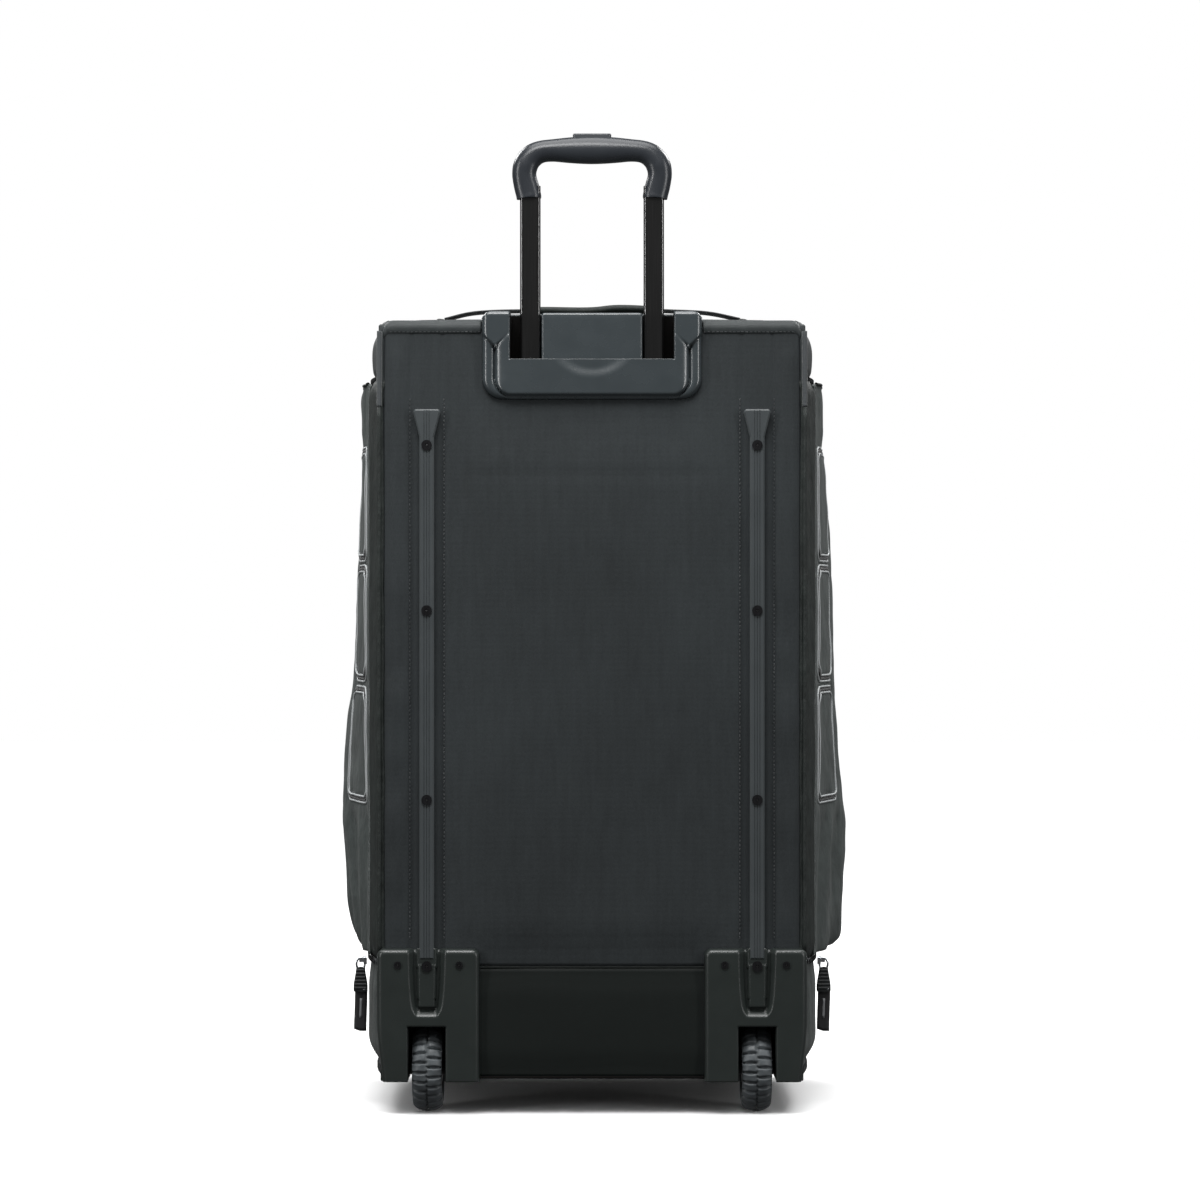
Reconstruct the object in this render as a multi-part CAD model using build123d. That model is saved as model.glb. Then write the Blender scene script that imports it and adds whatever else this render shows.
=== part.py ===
"""Four-ball rolling bowling bag: soft body, two corner wheels, telescopic handle.

Frame: millimetres, +Z up, origin on the floor under the middle of the bag.
-Y is the wheel and handle side, +Y the side with the ball door and pockets.
"""
from build123d import *
from math import atan2, degrees
import os

# ---------------------------------------------------------------- driving dimensions
BALL_D = 216.0          # a full-size bowling ball
WALL = 6.0              # padded fabric wall
GAP = 0.3               # clearance between neighbouring soft pieces

BACK_Y = -160.0         # outer face of the back panel
FRONT_Y = 135.0         # outer face of the front wall
FLARE_Y = -30.0         # the sides flare out from the back edge up to here
CORNER_R = 60.0         # front corners in plan
INSIDE_BACK_Y = -130.0  # shelves stop here, in front of the handle tubes

BODY_HALF, BODY_BACK_HALF = 234.0, 212.0    # half widths: middle, back edge
LID_HALF, LID_BACK_HALF = 226.0, 207.0
BASE_HALF, BASE_BACK_HALF = 230.0, 210.0
BASE_FRONT_Y = 131.0
DOOR_HALF = 163.0       # half width of the ball door and of the shoe flap
POST_X = 167.0          # side panels end here on the front face

TRAY_Z = 36.0           # underside of the base tray
TRAY_T = 4.0
BASE_TOP_Z = 147.0      # upper edge of the shoe compartment's wall
BODY_BOTTOM_Z = 152.0
BALL_SHELF_Z = 386.0
UPPER_SHELF_Z = 632.0
BODY_TOP_Z = 736.0
LID_BOTTOM_Z = 740.0
BACK_TOP_Z = 797.0
LID_TOP_Z = 800.0
LID_HINGE_Y = -118.0

# wheels and their corner housings
WHEEL_X, WHEEL_Y, WHEEL_R, WHEEL_W = 165.0, -129.0, 43.0, 30.0
AXLE_R = 4.0
AXLE_HEAD_R, AXLE_HEAD_T = 6.5, 2.5
BEARING_R, BEARING_W = 11.0, 7.0
HUB_R, HUB_W = 31.0, 28.0
HOUSING_X0, HOUSING_X1 = 112.0, 215.0
HOUSING_Z0, HOUSING_Z1 = 33.5, 166.6
HOUSING_Y = -169.0      # outer face of the housing's back plate
PLATE_Y = BACK_Y - 0.2  # face of anything screwed on over the back panel
WELL_HALF = 18.7        # half width of the wheel well
WELL_T = 3.3
WELL_TOP_Z = 88.5
WELL_FRONT_Y = -83.0
RECESS_TOP_HALF, RECESS_END_HALF, RECESS_END_Z = 16.5, 11.5, 107.0
TONGUE_TOP_HALF, TONGUE_END_HALF, TONGUE_TOP_Z = 10.4, 9.2, 155.5

# skid rails on the back panel
RAIL_X, RAIL_HALF, RAIL_TOP_Z, RAIL_BOTTOM_Z = 165.0, 7.3, 705.0, 156.0
RAIL_FLARE_HALF, RAIL_FLARE_Z = 14.2, 677.0
RAIL_Y = -168.0
RAIL_SCREW_Z = (669.0, 504.0, 315.0)
TONGUE_SCREW_Z = 149.0
HOUSING_SCREWS = ((132.5, 150.5), (194.0, 150.5))
SCREW_R, SCREW_HEAD_R, SCREW_HEAD_T, SCREW_END_Y = 2.0, 5.2, 1.5, -154.5
SCREW_HOLE_R = 2.2

# handle bezel at the top of the back
BEZEL_HALF, BEZEL_BODY_HALF = 110.0, 97.0
BEZEL_Z0, BEZEL_Z1 = 715.0, 803.0
BEZEL_FLANGE_Y, BEZEL_BODY_Y, BEZEL_FRONT_Y = -165.0, -170.5, -124.0
POCKET_HALF, POCKET_FLOOR_Z, POCKET_FRONT_Y = 82.0, 755.0, -128.0
CENTRE_WALL_HALF, CENTRE_WALL_Y = 46.0, -160.0
SCOOP_R, SCOOP_TOP_HALF = 51.0, 39.0

# telescopic handle
TUBE_X, TUBE_Y = 62.0, -143.0
INNER_TUBE = (20.5, 14.0, 1.3)      # width, depth, wall
TUBE_GROOVE_X = 7.4     # two grooves down the tube's back and front
OUTER_TUBE = (25.0, 18.4, 1.5)
OUTER_TUBE_Z0, OUTER_TUBE_Z1 = 168.0, 751.0
INNER_TUBE_Z0, INNER_TUBE_Z1 = 420.0, 930.0
TRAVEL_DOWN, TRAVEL_UP = 150.0, 150.0
PIN_Z, PIN_R, PIN_TIP, PIN_TAIL = 440.0, 2.5, 10.8, -3.0
PIN_TRAVEL, BUTTON_TRAVEL = 3.0, 4.0
PEG_R = 1.0
ROD_R = 2.0

# grip
GRIP_LEG_Z, GRIP_TOP_Z, GRIP_DEPTH = 919.0, 980.0, 28.0
YOKE_Z, YOKE_T = 966.5, 5.0
BUTTON_HALF_X, BUTTON_HALF_Y, BUTTON_TOP_Z = 19.3, 8.0, 982.4
CAVITY_Z0, CAVITY_Z1 = 961.0, 972.0

# zips
ZIP_T = 3.0
PIN_OFFSET = 6.6        # from the wall to the pin that the pull hangs from
LOWER_SLIDER_Y, LOWER_ZIP_Z = -110.0, 149.5
LOWER_SLIDER_OFF = 2.4  # the slider runs along a chord of the curved side
LID_SLIDER_X, LID_ZIP_Z = 7.0, 738.0
DOOR_SLIDER_Z = 200.0


# ---------------------------------------------------------------- helpers
def block(x0, x1, y0, y1, z0, z1):
    """A box between two corners."""
    return Pos((x0 + x1) / 2, (y0 + y1) / 2, (z0 + z1) / 2) * Box(x1 - x0, y1 - y0, z1 - z0)


def cylinder_x(x0, x1, y, z, r):
    """A cylinder along X from x0 to x1."""
    return Pos((x0 + x1) / 2, y, z) * Rot(0, 90, 0) * Cylinder(r, x1 - x0)


def cylinder_y(x, y0, y1, z, r):
    """A cylinder along Y from y0 to y1."""
    return Pos(x, (y0 + y1) / 2, z) * Rot(90, 0, 0) * Cylinder(r, y1 - y0)


def cylinder_z(x, y, z0, z1, r):
    """A cylinder along Z from z0 to z1."""
    return Pos(x, y, (z0 + z1) / 2) * Cylinder(r, z1 - z0)


def rise(face, height):
    """A face pushed straight up."""
    return extrude(face, height, dir=(0, 0, 1))


def backward(outline, y, depth):
    """A closed outline in X and Z, pushed from depth y toward the back."""
    return Pos(0, y, 0) * extrude(Face(Wire(Plane.XZ * outline)), depth, dir=(0, -1, 0))


def left_of(shape):
    """The left-hand copy of a right-hand piece."""
    return mirror(shape, about=Plane.YZ)


def plan(half, back_half, inset=0.0, front_y=FRONT_Y):
    """The bag's plan at one height: flat back, sides flaring forward, rounded front corners."""
    h, b = half - inset, back_half - inset
    yb, yf, r = BACK_Y + inset, front_y - inset, CORNER_R - inset
    side = [
        TangentArc((h, FLARE_Y), (b, yb), tangent=(0, -1)),
        Line((h, FLARE_Y), (h, yf - r)),
        CenterArc((h - r, yf - r), r, 0, 90),
    ]
    other = [edge.mirror(Plane.YZ) for edge in side]
    ends = [Line((-b, yb), (b, yb)), Line((-(h - r), yf), (h - r, yf))]
    return Face(Wire(side + other + ends))


def ring(half, back_half, wall, z0, z1, front_y=FRONT_Y):
    """A standing wall that follows the plan."""
    outside = plan(half, back_half, 0, front_y)
    inside = plan(half, back_half, wall, front_y)
    return Pos(0, 0, z0) * (rise(outside, z1 - z0) - rise(inside, z1 - z0))


def board(half, back_half, inset, y0, y1, z0, z1):
    """A flat board inside the walls, between two depths."""
    face = plan(half, back_half, inset)
    return Pos(0, 0, z0) * rise(face, z1 - z0) & block(-300, 300, y0, y1, z0, z1)


def wall_x(half, back_half, y):
    """Half width of the plan at depth y, on the flaring stretch."""
    flare, run = half - back_half, FLARE_Y - BACK_Y
    radius = (flare * flare + run * run) / (2 * flare)
    return half - (radius - (radius**2 - (y - FLARE_Y) ** 2) ** 0.5)


def rounded_slab(x0, x1, z0, z1, y0, y1, r):
    """A slab that faces Y, with four rounded corners."""
    sketch = Plane.XZ * Pos((x0 + x1) / 2, (z0 + z1) / 2) * RectangleRounded(x1 - x0, z1 - z0, r)
    return Pos(0, y1, 0) * extrude(sketch, y1 - y0, dir=(0, -1, 0))


# ---------------------------------------------------------------- soft body
def screw_holes(y0, y1, r=SCREW_HOLE_R):
    """Cutters for the screws of the right-hand rail and housing."""
    holes = [cylinder_y(RAIL_X, y0, y1, z, r) for z in (*RAIL_SCREW_Z, TONGUE_SCREW_Z)]
    holes += [cylinder_y(x, y0, y1, z, r) for x, z in HOUSING_SCREWS]
    return holes


def both_sides(shapes):
    """Right-hand cutters and their left-hand copies."""
    return shapes + [left_of(s) for s in shapes]


def back_panel():
    half = BODY_BACK_HALF - 1.5
    slab = block(-half, half, BACK_Y, BACK_Y + WALL, BASE_TOP_Z, BACK_TOP_Z - 1)
    slab -= block(-BEZEL_BODY_HALF - GAP, BEZEL_BODY_HALF + GAP, BACK_Y - 1, BACK_Y + 10, BEZEL_Z0 + 7, 900)
    slab = fillet(slab.edges().filter_by(Axis.Y).group_by(Axis.Z)[-1].sort_by(Axis.X)[0], 6)
    slab = fillet(slab.edges().filter_by(Axis.Y).group_by(Axis.Z)[-1].sort_by(Axis.X)[-1], 6)
    for hole in both_sides(screw_holes(BACK_Y - 1, BACK_Y + 10)):
        slab -= hole
    return slab


def lower_back_panel():
    half = HOUSING_X1 - 5.0
    slab = block(-half, half, BACK_Y, BACK_Y + WALL, TRAY_Z + 0.5, BASE_TOP_Z - GAP)
    well = block(WHEEL_X - WELL_HALF - WELL_T - GAP, WHEEL_X + WELL_HALF + WELL_T + GAP,
                 BACK_Y - 1, BACK_Y + 10, 0, WELL_TOP_Z + WELL_T + GAP)
    return slab - well - left_of(well)


def side_panel():
    wall = ring(BODY_HALF, BODY_BACK_HALF, WALL, BODY_BOTTOM_Z, BODY_TOP_Z)
    wall &= block(0, 300, BACK_Y + WALL + GAP, 300, 0, 900)
    return wall - block(0, POST_X, 0, 300, 0, 900)


def front_upper_panel():
    panel = block(-POST_X + GAP, POST_X - GAP, FRONT_Y - WALL, FRONT_Y, 590, BODY_TOP_Z)
    door = door_slab(4.0, FRONT_Y - 20, FRONT_Y + 20)
    return panel - door


def top_rear_corner():
    """Right-hand end of the fixed strip behind the lid, beside the handle bezel."""
    corner = board(LID_HALF, LID_BACK_HALF, 0, BACK_Y + WALL + GAP, LID_HINGE_Y - GAP,
                   BODY_TOP_Z + GAP, BACK_TOP_Z)
    corner &= block(BEZEL_BODY_HALF + GAP, 300, -300, 300, 0, 900)
    return fillet(corner.edges().filter_by(Axis.Y).group_by(Axis.Z)[-1].sort_by(Axis.X)[-1:], 8)


def compartment_floor():
    return board(BODY_HALF, BODY_BACK_HALF, WALL + GAP, BACK_Y + WALL + GAP, 127.0,
                 BODY_BOTTOM_Z, BODY_BOTTOM_Z + 6)


def ball_shelf():
    return board(BODY_HALF, BODY_BACK_HALF, WALL + GAP, INSIDE_BACK_Y, 120.0,
                 BALL_SHELF_Z, BALL_SHELF_Z + 6)


def upper_shelf():
    return board(BODY_HALF, BODY_BACK_HALF, WALL + GAP, INSIDE_BACK_Y, 127.0,
                 UPPER_SHELF_Z, UPPER_SHELF_Z + 6)


def ball_cups():
    """Four foam rings, each the seat of one ball."""
    height, seat_r = 20.0, 60.0
    profile = Polyline((seat_r - 12, 0), (seat_r + 25, 0), (seat_r + 20, height),
                       (seat_r + 8, height), (seat_r - 12, 4), close=True)
    cup = revolve(Face(Wire(Plane.XZ * profile)), Axis.Z)
    spots = [(x, z) for z in (BODY_BOTTOM_Z + 6, BALL_SHELF_Z + 6) for x in (-108.5, 108.5)]
    return [Pos(x, -3, z) * cup for x, z in spots]


def side_pocket():
    """Bulging outer pocket: a stack of bow-shaped sections from the bottom seam to the top."""
    rear_y, front_y, mid_y = -100.0, 85.0, -12.0
    bulge = {154.0: 246.0, 174.0: 255.0, 225.0: 260.5, 290.0: 263.0, 378.0: 259.5,
             440.0: 256.0, 515.0: 251.5, 600.0: 247.0, 675.0: 243.0, 734.0: 239.5}
    rear_x = wall_x(BODY_HALF, BODY_BACK_HALF, rear_y) + GAP
    halfway = (rear_y + FLARE_Y) / 2
    halfway_x = wall_x(BODY_HALF, BODY_BACK_HALF, halfway) + GAP
    sections = []
    for z, x in bulge.items():
        curved = ThreePointArc((rear_x, rear_y), (halfway_x, halfway), (BODY_HALF + GAP, FLARE_Y))
        flat = Line((BODY_HALF + GAP, FLARE_Y), (BODY_HALF + GAP, front_y))
        bow = ThreePointArc((BODY_HALF + GAP, front_y), (x, mid_y), (rear_x, rear_y))
        sections.append(Pos(0, 0, z) * Face(Wire([curved, flat, bow])))
    return loft(sections)


# ---------------------------------------------------------------- base
def base_tray():
    face = plan(BASE_HALF - 8, BASE_BACK_HALF - 4, 0, BASE_FRONT_Y - 1)
    tray = Pos(0, 0, TRAY_Z) * rise(face, TRAY_T)
    tray &= block(-300, 300, BACK_Y + WALL + GAP, 300, 0, 100)
    reach = WELL_HALF + WELL_T + AXLE_HEAD_T + 0.5
    well = block(WHEEL_X - reach, WHEEL_X + reach, -300, WELL_FRONT_Y + WELL_T + GAP, 0, 100)
    return tray - well - left_of(well)


def base_wall():
    wall = ring(BASE_HALF, BASE_BACK_HALF, WALL, TRAY_Z + TRAY_T, BASE_TOP_Z, BASE_FRONT_Y)
    wall &= block(0, 300, -149.7, 300, 0, 900)
    return wall - block(0, POST_X, 0, 300, 0, 900)


def front_feet():
    foot = block(118, 182, 78, 112, 0, TRAY_Z)
    foot = fillet(foot.edges().filter_by(Axis.Z), 10)
    foot = chamfer(foot.faces().sort_by(Axis.Z)[0].edges(), 4)
    return [foot, left_of(foot)]


def recess_outline(grow, y):
    """The recess at one depth, as a face that looks backward."""
    top, end, foot_z = RECESS_TOP_HALF + grow, RECESS_END_HALF + grow, RECESS_END_Z - grow
    side = Spline((top, y, HOUSING_Z1 + 1), (top - 1, y, 148), (end, y, foot_z),
                  tangents=((0, 0, -1), (-0.1, 0, -1)))
    foot = Line((end, y, foot_z), (-end, y, foot_z))
    head = Line((-top, y, HOUSING_Z1 + 1), (top, y, HOUSING_Z1 + 1))
    return Face(Wire([side, foot, side.mirror(Plane.YZ), head]))


def housing_recess(floor_y):
    """Cutter for the rail's recess: a dish with sloping sides, open at the top."""
    dish = loft([recess_outline(0, floor_y), recess_outline(4.6, HOUSING_Y - 0.1)], ruled=True)
    return Pos(RAIL_X, 0, 0) * dish


def wheel_housing():
    """Moulded corner: back plate with the rail's recess, corner wing, bottom plate, wheel well."""
    plate = block(HOUSING_X0, HOUSING_X1, HOUSING_Y, PLATE_Y, HOUSING_Z0, HOUSING_Z1)
    plate = fillet(plate.edges().filter_by(Axis.Y).group_by(Axis.Z)[-1], 8)
    plate = fillet(plate.faces().sort_by(Axis.Y)[0].edges(), 3.5)

    tongue = Polyline((-TONGUE_TOP_HALF, TONGUE_TOP_Z), (-TONGUE_END_HALF, RECESS_END_Z - 1),
                      (TONGUE_END_HALF, RECESS_END_Z - 1), (TONGUE_TOP_HALF, TONGUE_TOP_Z), close=True)
    floor_y = PLATE_Y - 2.5
    keep = Pos(RAIL_X, 0, 0) * backward(tongue, floor_y, floor_y - RAIL_Y)
    keep = chamfer(keep.faces().sort_by(Axis.Y)[0].edges(), 0.8)
    plate = plate - housing_recess(floor_y) + keep
    rail_seat = block(RAIL_X - RAIL_HALF - 0.2, RAIL_X + RAIL_HALF + 0.2, HOUSING_Y - 1, PLATE_Y + 1,
                      RAIL_BOTTOM_Z - 0.2, 200)
    plate -= rail_seat

    wing = block(HOUSING_X1 - 3.5, HOUSING_X1, PLATE_Y, -150, HOUSING_Z0, BODY_BOTTOM_Z - GAP)
    bottom = block(HOUSING_X0, HOUSING_X1 - 3, PLATE_Y, -80, HOUSING_Z0, TRAY_Z - GAP)
    outer = block(WHEEL_X - WELL_HALF - WELL_T, WHEEL_X + WELL_HALF + WELL_T, PLATE_Y,
                  WELL_FRONT_Y + WELL_T, HOUSING_Z0, WELL_TOP_Z + WELL_T)
    cavity = block(WHEEL_X - WELL_HALF, WHEEL_X + WELL_HALF, -300, WELL_FRONT_Y, -10, WELL_TOP_Z)
    cavity = fillet(cavity.edges().filter_by(Axis.Y).group_by(Axis.Z)[-1], 5)
    body = plate + wing + bottom + outer - cavity
    body -= cylinder_x(WHEEL_X - 40, WHEEL_X + 40, WHEEL_Y, WHEEL_R, AXLE_R + 0.1)
    for hole in screw_holes(-200, -150):
        body -= hole
    return body


# ---------------------------------------------------------------- wheels
def wheel_axles():
    reach = WELL_HALF + WELL_T
    axle = cylinder_x(WHEEL_X - reach, WHEEL_X + reach, WHEEL_Y, WHEEL_R, AXLE_R)
    for side in (-1, 1):
        head = sorted((WHEEL_X + side * reach, WHEEL_X + side * (reach + AXLE_HEAD_T)))
        axle += cylinder_x(*head, WHEEL_Y, WHEEL_R, AXLE_HEAD_R)
    return [axle, left_of(axle)]


def wheel_spacers():
    inner, outer = HUB_W / 2 + 0.2, WELL_HALF - 0.2
    spacers = []
    for side in (-1, 1):
        x0, x1 = sorted((WHEEL_X + side * inner, WHEEL_X + side * outer))
        spacers.append(cylinder_x(x0, x1, WHEEL_Y, WHEEL_R, 7) - cylinder_x(x0, x1, WHEEL_Y, WHEEL_R, AXLE_R + 0.2))
    return both_sides(spacers)


def hub():
    """Moulded wheel core with a thin web between its rim and its bearing boss."""
    body = cylinder_x(WHEEL_X - HUB_W / 2, WHEEL_X + HUB_W / 2, WHEEL_Y, WHEEL_R, HUB_R)
    for side in (-1, 1):
        x0, x1 = sorted((WHEEL_X + side * 5, WHEEL_X + side * HUB_W / 2))
        body -= cylinder_x(x0, x1, WHEEL_Y, WHEEL_R, HUB_R - 4) - cylinder_x(x0, x1, WHEEL_Y, WHEEL_R, BEARING_R + 3.5)
        seat = sorted((WHEEL_X + side * (HUB_W / 2 - BEARING_W), WHEEL_X + side * (HUB_W / 2)))
        body -= cylinder_x(*seat, WHEEL_Y, WHEEL_R, BEARING_R)
    return body - cylinder_x(WHEEL_X - 30, WHEEL_X + 30, WHEEL_Y, WHEEL_R, AXLE_R + 2)


def tyre():
    """Rubber tread with a rounded crown."""
    w = WHEEL_W / 2
    edge_r = WHEEL_R - 6
    crown = ThreePointArc((-w, edge_r), (0, WHEEL_R), (w, edge_r))
    rest = Polyline((w, edge_r), (w, HUB_R), (-w, HUB_R), (-w, edge_r))
    section = Face(Wire(crown.edges() + rest.edges()))
    turned = revolve(section, Axis.X)
    return Pos(WHEEL_X, WHEEL_Y, WHEEL_R) * turned


def bearings():
    pair = []
    for side in (-1, 1):
        x0, x1 = sorted((WHEEL_X + side * (HUB_W / 2 - BEARING_W), WHEEL_X + side * HUB_W / 2))
        race = cylinder_x(x0, x1, WHEEL_Y, WHEEL_R, BEARING_R)
        pair.append(race - cylinder_x(x0 - 1, x1 + 1, WHEEL_Y, WHEEL_R, AXLE_R + 0.04))
    return pair


# ---------------------------------------------------------------- skid rails and screws
def skid_rail():
    outline = Polyline((-RAIL_HALF, RAIL_BOTTOM_Z), (-RAIL_HALF, RAIL_FLARE_Z), (-RAIL_FLARE_HALF, RAIL_TOP_Z),
                       (RAIL_FLARE_HALF, RAIL_TOP_Z), (RAIL_HALF, RAIL_FLARE_Z), (RAIL_HALF, RAIL_BOTTOM_Z),
                       close=True)
    rail = Pos(RAIL_X, 0, 0) * backward(outline, PLATE_Y, PLATE_Y - RAIL_Y)
    rail = fillet(rail.edges().filter_by(Axis.Y).group_by(Axis.Z)[-1], 3)
    rail = chamfer(rail.faces().sort_by(Axis.Y)[0].edges(), 1.5)
    for x in (-2.6, 0.0, 2.6):
        rail -= block(RAIL_X + x - 0.5, RAIL_X + x + 0.5, RAIL_Y - 1, RAIL_Y + 0.5, RAIL_BOTTOM_Z - 1, RAIL_TOP_Z + 1)
    for hole in screw_holes(-200, -150)[:len(RAIL_SCREW_Z)]:
        rail -= hole
    return rail


def screws():
    """Pan-head screws: three down each rail, one in each tongue, two in each housing."""
    spots = [(RAIL_X, z, RAIL_Y) for z in (*RAIL_SCREW_Z, TONGUE_SCREW_Z)]
    spots += [(x, z, HOUSING_Y) for x, z in HOUSING_SCREWS]
    right = []
    for x, z, face_y in spots:
        radius = SCREW_HEAD_R if face_y == RAIL_Y else 3.6
        head = cylinder_y(x, face_y - SCREW_HEAD_T, face_y, z, radius)
        head -= cylinder_y(x, face_y - SCREW_HEAD_T - 1, face_y - 0.5, z, 1.6)
        right.append(head + cylinder_y(x, face_y, SCREW_END_Y, z, SCREW_R))
    return both_sides(right)


# ---------------------------------------------------------------- handle bezel and tubes
def trolley_bezel():
    """Plastic mouth of the handle: flange, raised body, pocket for the grip, finger scoop."""
    flange = rounded_slab(-BEZEL_HALF, BEZEL_HALF, BEZEL_Z0, BEZEL_Z1 + 30, BEZEL_FLANGE_Y, PLATE_Y, 22)
    flange = fillet(flange.faces().sort_by(Axis.Y)[0].edges(), 4)
    flange &= block(-300, 300, -300, 300, 0, BEZEL_Z1)
    body = flange + bezel_body() + bezel_shield() + left_of(bezel_shield())
    top = block(-BEZEL_HALF, BEZEL_HALF, BEZEL_FLANGE_Y, BEZEL_FRONT_Y, BACK_TOP_Z + 0.2, BEZEL_Z1)
    body += fillet(top.edges().filter_by(Axis.X).group_by(Axis.Z)[-1], 3)
    inner = BEZEL_BODY_HALF - 3
    body -= block(-BEZEL_BODY_HALF - 1, BEZEL_BODY_HALF + 1, BACK_Y + 8, BEZEL_FRONT_Y + 1, 0, 742)
    body -= block(-inner, inner, PLATE_Y, BEZEL_FRONT_Y + 5, 0, POCKET_FLOOR_Z - 3)

    pocket = block(-POCKET_HALF, POCKET_HALF, -300, POCKET_FRONT_Y, POCKET_FLOOR_Z, 900)
    centre = block(-CENTRE_WALL_HALF, CENTRE_WALL_HALF, CENTRE_WALL_Y, POCKET_FRONT_Y + 1, POCKET_FLOOR_Z, BEZEL_Z1)
    centre = fillet(centre.edges().filter_by(Axis.Z).group_by(Axis.Y)[0], 3)
    centre -= block(-CENTRE_WALL_HALF + 3, CENTRE_WALL_HALF - 3, CENTRE_WALL_Y + 3, POCKET_FRONT_Y + 5,
                    0, BEZEL_Z1 - 3)
    body = body - pocket + centre
    scoop_z = POCKET_FLOOR_Z + (SCOOP_R**2 - SCOOP_TOP_HALF**2) ** 0.5
    depth = CENTRE_WALL_Y - BEZEL_BODY_Y
    scoop = Pos(0, BEZEL_BODY_Y + depth / 2, scoop_z) * Rot(-90, 0, 0) * Cone(SCOOP_R, SCOOP_R - 14, depth)
    body -= scoop - block(-300, 300, -300, 300, POCKET_FLOOR_Z, 900)
    w, d = INNER_TUBE[0] + 1.0, INNER_TUBE[1] + 1.0
    for side in (-1, 1):
        x = side * TUBE_X
        body -= block(x - w / 2, x + w / 2, TUBE_Y - d / 2, TUBE_Y + d / 2, 700, 760)
    return body


def bezel_body():
    """The raised middle, with wide rounded shoulders on both sides."""
    half, shoulder, face_y, side_y = BEZEL_BODY_HALF, 14.0, BEZEL_BODY_Y, BEZEL_FLANGE_Y - 0.5
    right = Spline((half, side_y), (half - shoulder, face_y), tangents=((-0.3, -1), (-1, 0)))
    front = Line((half - shoulder, face_y), (shoulder - half, face_y))
    rest = Polyline((-half, side_y), (-half, BEZEL_FRONT_Y), (half, BEZEL_FRONT_Y), (half, side_y))
    section = Face(Wire([right, front, right.mirror(Plane.YZ)] + rest.edges()))
    crowned = Pos(0, 0, BEZEL_Z0) * rise(section, BEZEL_Z1 - BEZEL_Z0)
    outline = rounded_slab(-half, half, BEZEL_Z0 + 7, BEZEL_Z1 + 30, face_y - 1, BEZEL_FRONT_Y, 18)
    body = crowned & outline
    return chamfer(body.faces().sort_by(Axis.Y)[0].edges().sort_by(Axis.Z)[0], 2.5)


def bezel_shield():
    """The flush shield at the right-hand top corner, where the groove ends."""
    outline = Polyline((POCKET_HALF, BEZEL_Z1), (BEZEL_HALF, BEZEL_Z1), (BEZEL_HALF - 1, 781),
                       (BEZEL_BODY_HALF, 770), (POCKET_HALF + 3, 781), (POCKET_HALF, 790), close=True)
    shield = backward(outline, PLATE_Y, PLATE_Y - BEZEL_BODY_Y - 0.3)
    shield = fillet(shield.edges().filter_by(Axis.Z).sort_by(Axis.X)[-1], 4)
    return fillet(shield.faces().sort_by(Axis.Y)[0].edges().group_by(Axis.Z)[-1], 3)


def tube(width, depth, wall, z0, z1, r=3.0):
    """A rectangular tube with rounded edges, standing at the right-hand tube's place."""
    outside = extrude(RectangleRounded(width, depth, r), z1 - z0)
    inside = extrude(RectangleRounded(width - 2 * wall, depth - 2 * wall, r - wall / 2), z1 - z0)
    return Pos(TUBE_X, TUBE_Y, z0) * (outside - inside)


def outer_tube():
    body = tube(*OUTER_TUBE, OUTER_TUBE_Z0, OUTER_TUBE_Z1)
    for z in (PIN_Z - TRAVEL_DOWN, PIN_Z + TRAVEL_UP):
        body -= cylinder_x(TUBE_X + 5, TUBE_X + 20, TUBE_Y, z, PIN_R + 0.4)
    return body


def inner_tube():
    body = tube(*INNER_TUBE, INNER_TUBE_Z0, INNER_TUBE_Z1)
    depth = INNER_TUBE[1]
    for x in (-TUBE_GROOVE_X, TUBE_GROOVE_X):
        for y in (-depth / 2, depth / 2):
            body -= Pos(TUBE_X + x, TUBE_Y + y, 0) * block(-0.6, 0.6, -0.5, 0.5, 0, 2000)
    return body - cylinder_x(TUBE_X + 5, TUBE_X + 20, TUBE_Y, PIN_Z, PIN_R + 0.3)


def tube_guides():
    """Nylon collars that centre the inner tubes at the top of the outer ones."""
    w, d, wall = OUTER_TUBE
    bore = extrude(RectangleRounded(INNER_TUBE[0] + 0.4, INNER_TUBE[1] + 0.4, 3.0), 40)
    neck = extrude(RectangleRounded(w - 2 * wall - 0.1, d - 2 * wall - 0.1, 2.2), 14)
    cap = Pos(0, 0, 14) * extrude(RectangleRounded(w, d, 3.0), 0.8)
    guide = Pos(TUBE_X, TUBE_Y, OUTER_TUBE_Z1 - 14) * (neck + cap - Pos(0, 0, -5) * bore)
    return [guide, left_of(guide)]


def tube_foot_bracket():
    bracket = block(-82, 82, BACK_Y + WALL + GAP, -131, BODY_BOTTOM_Z + 6.2, 190)
    w, d = OUTER_TUBE[0] + 0.2, OUTER_TUBE[1] + 0.2
    for side in (-1, 1):
        x = side * TUBE_X
        bracket -= block(x - w / 2, x + w / 2, TUBE_Y - d / 2, TUBE_Y + d / 2, OUTER_TUBE_Z0, 200)
    return bracket


def tube_plug():
    """Lower end of an inner tube: guides the lock pin and the cam plate on the push rod."""
    w, d = INNER_TUBE[0] - 2 * INNER_TUBE[2] - 0.2, INNER_TUBE[1] - 2 * INNER_TUBE[2] - 0.2
    body = Pos(0, 0, INNER_TUBE_Z0 + 1) * extrude(RectangleRounded(w, d, 2.4), 50)
    body -= block(-5.8, 3.8, -1.2, 1.2, PIN_Z - 12, 500)
    body -= cylinder_z(0, 0, PIN_Z + 7, 500, ROD_R + 0.5)
    body -= cylinder_x(PIN_TAIL - PIN_TRAVEL - 0.6, 20, 0, PIN_Z, PIN_R + 0.1)
    return Pos(TUBE_X, TUBE_Y, 0) * body


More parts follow.
